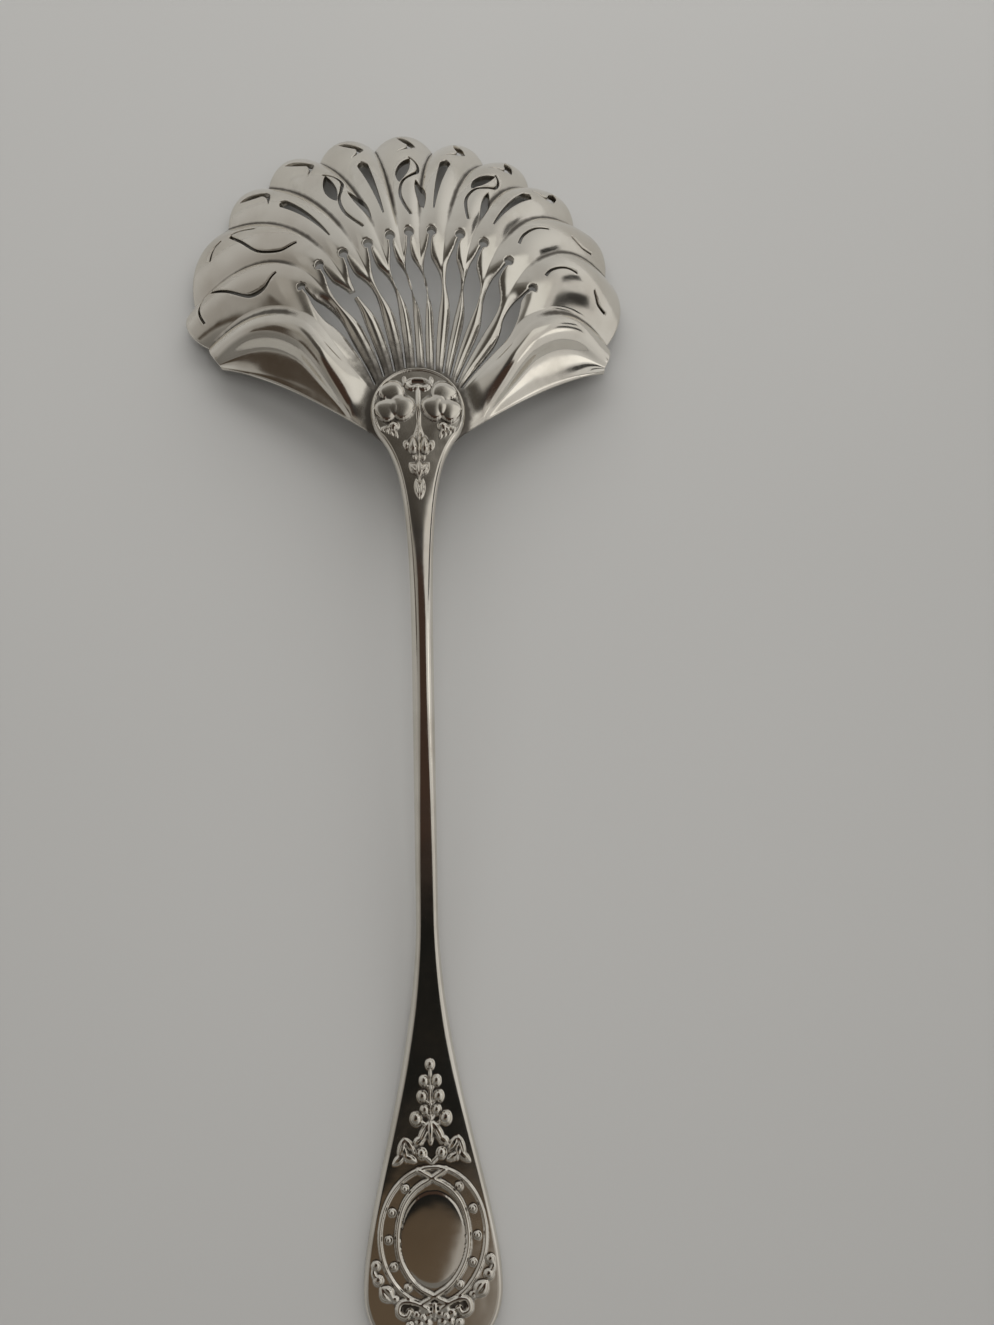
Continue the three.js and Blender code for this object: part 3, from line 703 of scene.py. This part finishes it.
# The handle: a rounded plate along an outline, with relief on its upper side.
def cubic(from_point, leave, arrive, to_point, count):
    u = np.linspace(0, 1, count)[:, None]
    points = [np.asarray(p, float) for p in (from_point, leave, arrive, to_point)]
    weights = [(1 - u) ** 3, 3 * u * (1 - u) ** 2, 3 * u * u * (1 - u), u ** 3]
    return sum(weight * point for weight, point in zip(weights, points))


def outline_table():
    """Distance and half width along the handle, from the top of the drop to the blunt end."""
    lower = math.radians(SHOULDER_ANGLE)
    turn = np.linspace(-math.pi / 2, lower, DROP_STEPS)
    drop = DROP_RADIUS * np.stack([np.sin(turn), np.cos(turn)], -1)
    shoulder = drop[-1]
    leave = shoulder + SHOULDER_REACH * np.array([math.cos(lower), -math.sin(lower)])
    ease = (NECK_END * STEM_START, STEM_HALF_WIDTH + NECK_EASE)
    neck = cubic(shoulder, leave, ease, (STEM_START, STEM_HALF_WIDTH), NECK_STEPS)
    flare_length = END_WIDEST - STEM_END
    leave = (STEM_END + FLARE_LEAVE * flare_length, STEM_HALF_WIDTH + FLARE_EASE)
    arrive = (END_WIDEST - FLARE_ARRIVE * flare_length, END_HALF_WIDTH)
    flare = cubic((STEM_END, STEM_HALF_WIDTH), leave, arrive, (END_WIDEST, END_HALF_WIDTH), FLARE_STEPS)
    turn = np.linspace(math.pi / 2, 0, CORNER_STEPS)
    end_d = HANDLE_LENGTH - (HANDLE_LENGTH - END_WIDEST) * (1 - np.cos(turn))
    end_half = mix(END_FLAT_HALF_WIDTH, END_HALF_WIDTH, np.sin(turn))
    return np.concatenate([drop, neck[1:], flare, np.stack([end_d, end_half], -1)[1:]])


OUTLINE = outline_table()
OUTLINE_SLOPE = np.gradient(OUTLINE[:, 1]) / np.maximum(np.gradient(OUTLINE[:, 0]), TINY)


def half_width(d):
    return np.interp(d, OUTLINE[:, 0], OUTLINE[:, 1])


def underside(d):
    return DROP_UNDERSIDE * (1 - smooth(d, ARCH_END, REST_END))


def flatness(d):
    return 1 - smooth(d, DROP_RADIUS, STEM_START) + smooth(d, STEM_END, REST_END)


def thickness(d):
    """Over the end, the upper side eases from the stem's curve into a straight fall to the tip."""
    plate = np.where(d < STEM_START, DROP_THICKNESS, END_THICKNESS)
    curve = underside(d) + mix(STEM_THICKNESS, plate, flatness(d))
    taper = TIP_THICKNESS + END_TAPER * (HANDLE_LENGTH - d)
    joined = (curve + taper + np.hypot(curve - taper, TAPER_EASE)) / 2
    return mix(joined, taper, smooth(d, *TAPER_START)) - underside(d)


def from_edge(d, across):
    """Distance of a point of the plate from its edge."""
    slope = np.interp(d, OUTLINE[:, 0], OUTLINE_SLOPE)
    side = half_width(d) * (1 - np.abs(across)) / np.sqrt(1 + slope ** 2)
    round_end = DROP_RADIUS - np.hypot(d, half_width(d) * across)
    side = np.where(d < 0, round_end, side)
    side = np.where(np.abs(across) == 1, 0, side)
    return np.clip(np.minimum(side, np.maximum(HANDLE_LENGTH - d, TIP_FACE)), 0, None)


def half_round(away, radius):
    return np.sqrt(np.clip(1 - (away / radius) ** 2, 0, None))


class Relief:
    """Ornament struck into the handle's upper side: heights over points x, d. The highest form shows."""

    def __init__(self, x, d):
        self.x = x
        self.d = d
        self.heights = np.zeros_like(x)

    def strike(self, heights):
        self.heights = np.maximum(self.heights, heights)

    def turned(self, place, turn):
        """Distances from a place, across and along a line through it that is turned by some degrees."""
        turn = math.radians(turn)
        right = self.x - place[0]
        down = self.d - place[1]
        across = right * math.cos(turn) + down * math.sin(turn)
        return across, down * math.cos(turn) - right * math.sin(turn)

    def dome(self, place, radius, length=None, turn=0, height=None, power=0.5):
        across, along = self.turned(place, turn)
        inside = 1 - (across / radius) ** 2 - (along / (length or radius)) ** 2
        height = radius if height is None else height
        self.strike(height * np.clip(inside, 0, None) ** power)

    def clover(self, side):
        """A leaf of three plump lobes that run together."""
        total = np.zeros_like(self.x)
        for place_x, place_d, radius, length, height in CLOVER:
            across = (self.x * side - place_x) / radius
            along = (self.d - place_d) / length
            wave = 1 + LOBE_WAVE * np.cos(3 * np.arctan2(along, across) + 2 * place_x)
            inside = np.clip(1 - (np.hypot(across, along) * wave) ** 2, 0, None)
            total += (height * inside ** LOBE_POWER) ** LOBE_BLEND
        self.strike(total ** (1 / LOBE_BLEND))

    def bud(self, place, width, length, height):
        """A plump bud, pointed at its top and round at its foot."""
        along = np.clip((self.d - place[1]) / length, -1, 1)
        half = width * np.sqrt(np.clip(1 - along ** 2, THIN, None)) * (BUD_WAIST + BUD_SWELL * along)
        body = half_round(self.x - place[0], half)
        self.strike(height * body * np.clip(1 - along ** 2, 0, None) ** TIP_POWER)

    def leaf(self, place, width, length, turn, height, vein=0.3):
        """A pointed leaf with a furrow along its middle. Its place is its middle."""
        across, along = self.turned(place, turn)
        along = along / length
        half = width * np.clip(1 - along ** 2, THIN, None)
        body = half_round(across, half) * np.clip(1 - along ** 2, 0, None) ** TIP_POWER
        furrow = vein * np.exp(-(across / (VEIN_WIDTH * width)) ** 2)
        self.strike(height * body * (1 - furrow))

    def cord(self, route, radius, height, count=24):
        """A half-round wire along a route of (x, d) points."""
        route = bend(route, count)
        nearest = np.full_like(self.x, np.inf)
        for start, end in zip(route[:-1], route[1:]):
            way = end - start
            right = self.x - start[0]
            down = self.d - start[1]
            share = np.clip((right * way[0] + down * way[1]) / (way @ way), 0, 1)
            nearest = np.minimum(nearest, np.hypot(right - share * way[0], down - share * way[1]))
        self.strike(height * half_round(nearest, radius))

    def oval_ring(self, middle, half, length, radius, height):
        right = self.x - middle[0]
        down = self.d - middle[1]
        reach = np.hypot(right / half, down / length)
        scale = np.hypot(right, down) / np.maximum(reach, TINY)
        self.strike(height * half_round((reach - 1) * scale, radius))


def mirrored(points, side):
    return [(side * x, d) for x, d in points]


def strike_drop(relief):
    """A rim, a stalk that hangs from a ribbon, and on either side of it a clover leaf over buds."""
    from_rim = np.hypot(relief.x, relief.d) - DROP_RIM
    rim_fade = 1 - smooth(relief.d, *DROP_RIM_FADE)
    relief.strike(DROP_RIM_HEIGHT * half_round(from_rim, DROP_RIM_ROUND) * rim_fade)
    relief.cord(STALK, radius=0.16, height=0.3)
    for side in (-1, 1):
        relief.cord(mirrored(STRAND, side), radius=0.14, height=0.22)
        relief.cord(mirrored(RIBBON_END, side), radius=0.2, height=0.3)
        relief.cord(mirrored(RIBBON_BAND, side), radius=0.22, height=0.3)
        relief.clover(side)
        relief.dome((side * 4.1, 2.9), radius=0.85, length=0.7, height=0.6)
        for ray in range(FRINGE_RAYS):
            tip = (FRINGE_TIP[0] + FRINGE_STEP[0] * ray, FRINGE_TIP[1] + FRINGE_STEP[1] * ray)
            relief.cord(mirrored([FRINGE_ROOT, tip], side), radius=0.17, height=0.36, count=2)
        relief.bud((side * 0.95, 6.4), width=0.95, length=1.5, height=0.8)
        relief.dome((side * 2, 6.4), radius=0.5, length=0.65, height=0.45)
        relief.dome((side * 0.7, 8.5), radius=0.3)
        relief.leaf((side * 0.75, 10.6), width=0.75, length=1.25, turn=side * 42, height=0.55)
        relief.leaf((side * 0.35, 14.2), width=0.5, length=1.6, turn=side * 8, height=0.4, vein=0.2)
    relief.leaf((0, 10.6), width=0.75, length=1.5, turn=0, height=0.7, vein=0.2)
    relief.cord(LOWER_STALK, radius=0.16, height=0.25)


def strike_sprig(relief):
    """The sprig of berries and the tied leaves over the cartouche."""
    relief.cord(SPRIG_STALK, radius=0.18, height=0.3)
    relief.dome((0, 104.4), radius=0.7, length=0.75, height=0.6)
    for side in (-1, 1):
        for x, d, radius in SPRIG_BERRIES:
            relief.dome((side * x, d), radius * 0.9, length=radius, turn=side * 15, height=0.72 * radius)
            relief.cord([(side * x, d), (0, d + BERRY_STEM)], radius=0.15, height=0.22, count=2)
        relief.leaf((side * 1.05, 114.2), width=0.6, length=1.9, turn=side * -28, height=0.55)
        relief.leaf((side * 1.9, 115.4), width=0.6, length=1.05, turn=side * -50, height=0.5)
        for x, d, width, length, turn in SPRAY_LEAVES:
            relief.leaf((side * x, d), width, length, side * turn, height=0.5)
    relief.leaf((-0.1, 114.1), width=0.45, length=1.8, turn=0, height=0.65, vein=0.1)


def strike_cartouche(relief):
    """An empty medal in a pair of rings with beads between them, and berries, a bud and a bow under them."""
    relief.oval_ring(CARTOUCHE, half=7.85, length=9.45, radius=0.27, height=0.3)
    relief.dome(MEDAL, radius=4.8, length=6.5, height=0.26, power=0.28)
    for side in (-1, 1):
        for turn in np.radians(BEAD_ANGLES):
            bead = (side * BEAD_RING[0] * math.sin(turn), CARTOUCHE[1] - BEAD_RING[1] * math.cos(turn))
            relief.dome(bead, radius=0.52, height=0.5)
        relief.cord(mirrored(INNER_RING, side), radius=0.36, height=0.46, count=96)
        for x, d, radius in HANGING_BERRIES:
            relief.dome((side * x, d), radius, height=0.7 * radius)
        relief.leaf((side * 6.9, 136.2), width=1.05, length=1.35, turn=side * 40, height=0.62, vein=0.4)
        relief.leaf((side * 8.75, 133.5), width=0.35, length=0.9, turn=side * 20, height=0.35)
        relief.cord(mirrored(BOW_LOOP, side), radius=0.42, height=0.55)
        for petal in range(FLOWER_PETALS):
            turn = 2 * math.pi * (petal + 0.5) / FLOWER_PETALS
            right = FLOWER[0] + PETAL_REACH * math.sin(turn)
            down = FLOWER[1] + PETAL_REACH * math.cos(turn)
            relief.dome((side * right, down), radius=0.62, height=0.42)
        relief.dome((side * FLOWER[0], FLOWER[1]), radius=0.5, height=0.6)
        relief.dome((side * 3.6, 140.6), radius=0.5, height=0.4)
        relief.leaf((side * 2.6, 141.5), width=0.5, length=1.1, turn=side * 60, height=0.4)
    relief.leaf((0, 138.8), width=0.5, length=1.3, turn=0, height=0.5, vein=0.1)


def soften(heights, passes):
    for _ in range(passes):
        padded = np.pad(heights, 1, mode="edge")
        beside = padded[:-2, 1:-1] + padded[2:, 1:-1] + padded[1:-1, :-2] + padded[1:-1, 2:]
        heights = (beside + 4 * heights) / 8
    return heights


def handle_rows():
    turn = np.linspace(0, math.pi / 2, ROUND_ROWS)
    top = -DROP_RADIUS * np.cos(turn)
    drop = np.linspace(0, DROP_ORNAMENT_END, DROP_ROWS)[1:]
    stem = np.linspace(DROP_ORNAMENT_END, END_ORNAMENT_START, STEM_ROWS)[1:]
    end = np.linspace(END_ORNAMENT_START, HANDLE_LENGTH - PLATE_ROUND, END_ROWS)[1:]
    turn = np.linspace(0, math.pi / 2, TIP_ROWS)[1:]
    tip = HANDLE_LENGTH - PLATE_ROUND * (1 - np.sin(turn))
    return np.concatenate([top, drop, stem, end, tip])


def struck_handle():
    rows = handle_rows()
    share = np.linspace(0, 1, HANDLE_TOP_COLUMNS + 1)
    over_columns = np.clip(mix(2 * share - 1, -np.cos(math.pi * share), CROWDED_EDGES), -1, 1)
    under_columns = np.cos(np.linspace(0, math.pi, HANDLE_UNDER_COLUMNS + 1)[1:])
    columns = np.concatenate([over_columns, under_columns])
    piece, row, column = grid("handle_silver", len(columns) - 1, len(rows) - 1)
    d, across = np.meshgrid(rows, columns, indexing="ij")
    upper = np.arange(len(columns)) <= HANDLE_TOP_COLUMNS
    x = half_width(d) * across
    edge = np.clip(from_edge(d, across) / PLATE_ROUND, 0, 1)
    plate = np.sqrt(1 - (1 - edge) ** 2)
    flat = flatness(d)
    power = mix(*STEM_POWERS, smooth(d, *STEM_FLATTENS))
    over = mix(np.sqrt(1 - np.abs(across) ** power), plate, flat)
    under = mix((1 - across ** UNDER_POWER) ** (1 / UNDER_POWER), plate, flat)
    z = underside(d) + thickness(d) * np.where(upper, mix(EDGE_LINE, 1, over), EDGE_LINE * (1 - under))
    relief = Relief(x[:, upper], d[:, upper])
    strike_drop(relief)
    strike_sprig(relief)
    strike_cartouche(relief)
    heights = soften(relief.heights * smooth(edge[:, upper], 0, RELIEF_FADE), 1)
    z[:, upper] += heights
    # Tarnish and painted shade round the foot of the relief, where it stands above its softened surroundings
    crevice = np.zeros_like(z)
    crevice[:, upper] = np.clip((soften(heights, RELIEF_TARNISH_AND_SHADE_PASSES) - heights) / RELIEF_TARNISH_AND_SHADE_DEPTH, 0, 1)
    points = np.stack([x, -d, z], -1)
    set_in_place(piece, points[row, column])
    mark(piece, "crevice", crevice[row, column])
    only(piece)
    bpy.ops.object.mode_set(mode="EDIT")
    bpy.ops.mesh.select_all(action="SELECT")
    bpy.ops.mesh.remove_doubles(threshold=WELD)
    bpy.ops.mesh.fill_holes(sides=0)
    bpy.ops.mesh.normals_make_consistent(inside=False)
    bpy.ops.object.mode_set(mode="OBJECT")
    finish_mesh(piece, HANDLE_SMOOTH_BELOW)
    return piece


def solder_film():
    """The thin film of solder between the bowl's tongue and the drop, with a small fillet round it."""
    deselect()
    thick = SEAM_HIGH.z - SEAM_LOW.z
    radius = (SEAM_HIGH.x - SEAM_LOW.x) / 2
    middle = (DROP_PLACE[0], DROP_PLACE[1], (SEAM_LOW.z + SEAM_HIGH.z) / 2)
    bpy.ops.mesh.primitive_cylinder_add(vertices=FILM_SIDES, radius=radius, depth=thick, location=middle)
    film = bpy.context.object
    film.name = "solder_film"
    bpy.ops.object.transform_apply(location=True)
    apply_modifier(film, "BEVEL", width=FILM_ROUND * thick, segments=3, limit_method="ANGLE")
    finish_mesh(film)
    return film


# Finishes
class Wire:
    """A node's output, with the arithmetic that the finishes need."""

    def __init__(self, finish, socket):
        self.finish = finish
        self.socket = socket

    def calculate(self, operation, *values):
        return self.finish.node("ShaderNodeMath", {"operation": operation}, dict(enumerate(values)))

    def __add__(self, other):
        return self.calculate("ADD", self, other)

    def __radd__(self, other):
        return self.calculate("ADD", other, self)

    def __sub__(self, other):
        return self.calculate("SUBTRACT", self, other)

    def __rsub__(self, other):
        return self.calculate("SUBTRACT", other, self)

    def __mul__(self, other):
        return self.calculate("MULTIPLY", self, other)

    def __rmul__(self, other):
        return self.calculate("MULTIPLY", other, self)


class Finish:
    """A material whose nodes are added one call at a time."""

    def __init__(self, tree):
        self.tree = tree
        tree.nodes.clear()

    def node(self, kind, settings=None, sockets=None, output=0):
        node = self.tree.nodes.new(kind)
        for name, value in (settings or {}).items():
            if name == "stops":
                self.set_stops(node.color_ramp, value)
            else:
                setattr(node, name, value)
        for name, value in (sockets or {}).items():
            if isinstance(value, Wire):
                self.tree.links.new(value.socket, node.inputs[name])
            else:
                node.inputs[name].default_value = value
        return Wire(self, node.outputs[output]) if node.outputs else None

    @staticmethod
    def set_stops(ramp, stops):
        while len(ramp.elements) < len(stops):
            ramp.elements.new(0.5)
        for element, (place, colour) in zip(ramp.elements, stops):
            element.position = place
            element.color = colour

    def noise(self, scale, detail=3, roughness=0.55, stretch=(1, 1, 1), turn=0):
        place = self.node("ShaderNodeTexCoord", output="Object")
        turned = {"Vector": place, "Scale": stretch, "Rotation": (0, 0, math.radians(turn))}
        place = self.node("ShaderNodeMapping", None, turned)
        settings = {"Vector": place, "Scale": scale, "Detail": detail, "Roughness": roughness}
        return self.node("ShaderNodeTexNoise", None, settings)

    def between(self, value, low, high):
        settings = {"interpolation_type": "SMOOTHSTEP"}
        return self.node("ShaderNodeMapRange", settings, {"Value": value, "From Min": low, "From Max": high})

    def blend(self, share, first, second):
        settings = {"data_type": "RGBA"}
        return self.node("ShaderNodeMix", settings, {0: share, 6: first, 7: second}, 2)

    def attribute(self, name):
        return self.node("ShaderNodeAttribute", {"attribute_name": name}, None, "Fac")

    def split(self, place):
        return [self.node("ShaderNodeSeparateXYZ", None, {"Vector": place}, axis) for axis in "XYZ"]

    def coat(self, kind, sockets):
        """Ends the material with a shader."""
        shader = self.node(kind, None, sockets)
        self.node("ShaderNodeOutputMaterial", None, {"Surface": shader})

    def glow(self, colour, strength=1.0):
        self.coat("ShaderNodeEmission", {"Color": colour, "Strength": strength})


def new_finish(name):
    material = bpy.data.materials.new(name)
    material.use_nodes = True
    return material, Finish(material.node_tree)


POLISHED = (0.79, 0.755, 0.685, 1)
DULLED = (0.61, 0.57, 0.5, 1)
TARNISH = (0.38, 0.305, 0.225, 1)
# Near black, for tarnish and painted shade in the creases, the cuts and round the relief
DARKEST_TARNISH_AND_SHADE = (0.05, 0.04, 0.031, 1)


def silver(name, gloss, tarnish_and_shade_strength):
    """Polished silver, dulled in soft patches, scratched by use, and darkened where its crevice mark is high:
    tarnish and painted shade.
    """
    material, finish = new_finish(name)
    clouds = finish.noise(95, 4)
    smears = finish.noise(38, 3, 0.6)
    specks = finish.noise(900, 2)
    dull = finish.between(clouds, 0.42, 0.72)
    crevice = finish.attribute("crevice")
    # Tarnish and painted shade where the crevice mark is high, broken up by specks and clouds
    tarnish_and_shade_mask = finish.between(crevice + (specks - 0.5) * 0.35 + (clouds - 0.5) * 0.3, 0.28, 0.85)
    tint = finish.between(smears, 0.5, 0.75)
    colour = finish.blend(dull * 0.55, POLISHED, DULLED)
    colour = finish.blend(tint * 0.28, colour, TARNISH)
    colour = finish.blend(tarnish_and_shade_mask * tarnish_and_shade_strength, colour, DARKEST_TARNISH_AND_SHADE)
    scratches = finish.noise(520, 2, 0.6, (1, 0.05, 1), 24) + finish.noise(640, 2, 0.6, (0.05, 1, 1), -17)
    rough = gloss + dull * 0.09 + (specks - 0.5) * 0.05 + tarnish_and_shade_mask * 0.25
    dents = finish.noise(160, 2, 0.5)
    bump = finish.node("ShaderNodeBump", None, {"Strength": 0.05, "Distance": 0.00004, "Height": scratches})
    dented = {"Strength": 0.12, "Distance": 0.0004, "Height": dents, "Normal": bump}
    bump = finish.node("ShaderNodeBump", None, dented)
    metal = {"Base Color": colour, "Metallic": 1.0, "Roughness": rough, "Normal": bump}
    finish.coat("ShaderNodeBsdfPrincipled", metal)
    return material


def floor_finish():
    material, finish = new_finish("pale_table")
    shade = finish.noise(3, 3)
    colour = finish.blend(finish.between(shade, 0.3, 0.7), (0.48, 0.477, 0.467, 1), (0.51, 0.507, 0.497, 1))
    finish.coat("ShaderNodeBsdfPrincipled", {"Base Color": colour, "Roughness": 0.55})
    return material


# Shades of the overhead card's middle, by the share of its length from the handle's end, and of its two sides
BLACK = (0.01, 0.01, 0.009, 1)
BROWN = (0.05, 0.03, 0.022, 1)
OVERHEAD_REACH = 0.2
OVERHEAD_SHADES = [
    (0.16, (0.105, 0.076, 0.05, 1)), (0.178, BLACK), (0.3, BLACK), (0.35, BROWN), (0.65, BROWN),
    (0.7, (0.035, 0.033, 0.032, 1)), (0.77, (0.06, 0.053, 0.045, 1)), (0.84, (0.075, 0.068, 0.058, 1)),
    (0.9, (0.2, 0.19, 0.175, 1)),
]
RIGHT_OF_END = (0.38, 0.36, 0.335, 1)
RIGHT_OF_STEM = (0.62, 0.605, 0.58, 1)
RIGHT_OF_DROP = (0.75, 0.74, 0.71, 1)
LEFT_OF_STEM = (0.26, 0.245, 0.22, 1)
LEFT_OF_DROP = (0.42, 0.41, 0.39, 1)


def card_finish():
    """What the top of the handle mirrors. Along the stem, the bright sides stand further apart."""
    material, finish = new_finish("overhead_shade")
    across, along, _ = finish.split(finish.node("ShaderNodeTexCoord", output="Object"))
    reach = {"Value": along, "From Min": -OVERHEAD_REACH, "From Max": OVERHEAD_REACH}
    share = finish.node("ShaderNodeMapRange", None, reach)
    middle = finish.node("ShaderNodeValToRGB", {"stops": OVERHEAD_SHADES}, {"Fac": share})
    stem = finish.between(along, -0.16, -0.125) - finish.between(along, 0.03, 0.075)
    right_side = finish.blend(finish.between(along, -0.14, -0.1), RIGHT_OF_END, RIGHT_OF_STEM)
    right_side = finish.blend(finish.between(along, 0.07, 0.11), right_side, RIGHT_OF_DROP)
    left_side = finish.blend(finish.between(along, 0.06, 0.12), LEFT_OF_STEM, LEFT_OF_DROP)
    rightward = finish.between(across - stem * 0.065, 0.012, 0.035)
    leftward = finish.between(across * -1 - stem * 0.03, 0.04, 0.07) * finish.between(along, -0.12, -0.07)
    shade = finish.blend(rightward, middle, right_side)
    finish.glow(finish.blend(leftward, shade, left_side))
    return material


def glow_finish():
    material, finish = new_finish("bright_card")
    finish.glow((1, 0.98, 0.94, 1), 1.1)
    return material


def pool_shade_finish():
    """A dark patch with soft edges, which the left pool of the bowl mirrors."""
    material, finish = new_finish("left_shade")
    across, along, _ = finish.split(finish.node("ShaderNodeTexCoord", output="UV"))
    inside = finish.between(across * (1 - across), 0, 0.13) * finish.between(along * (1 - along), 0, 0.1)
    finish.glow(finish.blend(inside, (0.33, 0.32, 0.3, 1), (0.06, 0.046, 0.034, 1)))
    return material


def dark_finish():
    material, finish = new_finish("dark_card")
    finish.coat("ShaderNodeBsdfPrincipled", {"Base Color": (0.03, 0.028, 0.026, 1), "Roughness": 0.8})
    return material


def dress(piece, node, material):
    piece.data.materials.clear()
    piece.data.materials.append(material)
    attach(piece, "root")
    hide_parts(node)


def plane(name, size, place, turn=(0, 0, 0)):
    deselect()
    bpy.ops.mesh.primitive_plane_add(size=1, location=place, rotation=turn)
    sheet = bpy.context.object
    sheet.name = name
    sheet.scale = (size[0], size[1], 1)
    bpy.ops.object.transform_apply(location=True, rotation=True, scale=True)
    return sheet


TABLE = 6


def stage():
    """A pale table, and cards that show only in mirror images: one overhead, three dark and one bright."""
    floor = plane("table_top", (TABLE, TABLE), (0, 0, 0))
    floor.data.materials.append(floor_finish())
    dark = dark_finish()
    cards = [
        ("overhead_card", (0.28, 0.37), (0.01, -0.015, 0.195), (0, 0, 0), card_finish()),
        ("right_dark_card", (0.17, 0.06), (0.33, 0.12, 0.193), (0, 58, 10), dark),
        ("far_dark_card", (0.12, 0.045), (0.302, 0.239, 0.174), (0, 62, 32), dark),
        ("left_dark_card", (0.04, 0.08), (-0.11, 0.043, 0.098), (38, -32, -44), pool_shade_finish()),
        ("right_bright_card", (0.1, 0.09), (0.306, 0.017, 0.233), (0, 50, -7), glow_finish())]
    for name, size, place, angles, material in cards:
        card = plane(name, size, place, np.radians(angles))
        card.data.materials.append(material)
        card.visible_camera = False
        card.visible_diffuse = False
        card.visible_shadow = False


def softbox(name, place, aim, size, power):
    """A soft lamp that lights the table and stays out of the mirror images in the silver."""
    light = bpy.data.lights.new(name, "AREA")
    light.shape = "ELLIPSE"
    light.size, light.size_y = size
    light.energy = power
    light.color = (1, 0.995, 0.98)
    lamp = bpy.data.objects.new(name, light)
    lamp.visible_camera = False
    lamp.visible_glossy = False
    bpy.context.scene.collection.objects.link(lamp)
    way = np.array(aim, float) - np.array(place, float)
    way /= np.linalg.norm(way)
    side = np.cross(way, (0, 1, 0.01))
    side /= np.linalg.norm(side)
    over = np.cross(side, way)
    turn = np.column_stack([side, over, -way])
    lamp.matrix_world = Matrix.Translation(place) @ Matrix(turn.tolist()).to_4x4()


def lights():
    """A wide window beyond the bowl and a lamp overhead.

    The room is brighter beyond the bowl and on the right, and darker towards the handle's end.
    A faint lamp under the bowl stands for the light that the silver throws back onto the table.
    """
    softbox("window", (0.05, 0.55, 0.35), (0, 0.2, 0), (1.2, 0.5), 3.2)
    softbox("ceiling", (0, -0.02, 0.3), (0, -0.01, 0), (0.16, 0.16), 0.15)
    softbox("thrown_back", (0, 0.07, 0.005), (0, 0.07, 0), (0.056, 0.042), 0.0014)
    world = bpy.data.worlds.new("room")
    bpy.context.scene.world = world
    world.use_nodes = True
    finish = Finish(world.node_tree)
    east, north, height = finish.split(finish.node("ShaderNodeTexCoord", output="Generated"))
    room = finish.blend(finish.between(height, 0.1, 0.95), (0.42, 0.41, 0.395, 1), (0.28, 0.265, 0.245, 1))
    room = finish.blend(finish.between(north, 0.1, 0.7) * 0.7, room, (0.54, 0.54, 0.53, 1))
    room = finish.blend(finish.between(north, -0.05, -0.6) * 0.8, room, (0.13, 0.124, 0.114, 1))
    room = finish.blend(finish.between(east, 0.2, 0.75) * 0.7, room, (0.74, 0.73, 0.71, 1))
    background = finish.node("ShaderNodeBackground", None, {"Color": room, "Strength": 1.0})
    finish.node("ShaderNodeOutputWorld", None, {"Surface": background})


# The view: a hand-held camera over the stem, tilted towards the bowl
CAMERA_PLACE = (-5.5, -87.6, 188.8)
CAMERA_TILT = 14
CAMERA_LEAN = 5.4
CAMERA_SPIN = 2.1
LENS = 31.25


def camera():
    tilt, lean, spin = (math.radians(angle) for angle in (CAMERA_TILT, CAMERA_LEAN, CAMERA_SPIN))
    ahead = np.array([math.sin(lean), math.sin(tilt) * math.cos(lean), -math.cos(tilt) * math.cos(lean)])
    right = np.cross(ahead, (0, 1, 0))
    right /= np.linalg.norm(right)
    down = np.cross(ahead, right)
    turned_right = math.cos(spin) * right + math.sin(spin) * down
    turned_down = math.cos(spin) * down - math.sin(spin) * right
    lens = bpy.data.cameras.new("view")
    lens.sensor_width = 36
    lens.lens = LENS
    lens.clip_start = 0.01
    view = bpy.data.objects.new("view", lens)
    bpy.context.scene.collection.objects.link(view)
    turn = Matrix(np.column_stack([turned_right, -turned_down, -ahead]).tolist()).to_4x4()
    view.matrix_world = Matrix.Translation(np.array(CAMERA_PLACE) * MM + DROP_PLACE) @ turn
    bpy.context.scene.camera = view


camera()
dress(shell_bowl(), "shell_bowl", silver("bowl_silver", 0.11, 0.85))
dress(struck_handle(), "handle", silver("handle_silver", 0.1, 0.9))
dress(solder_film(), "solder_seam", silver("hard_solder", 0.4, 0.5))
stage()
lights()
bpy.context.scene.view_settings.view_transform = "Standard"
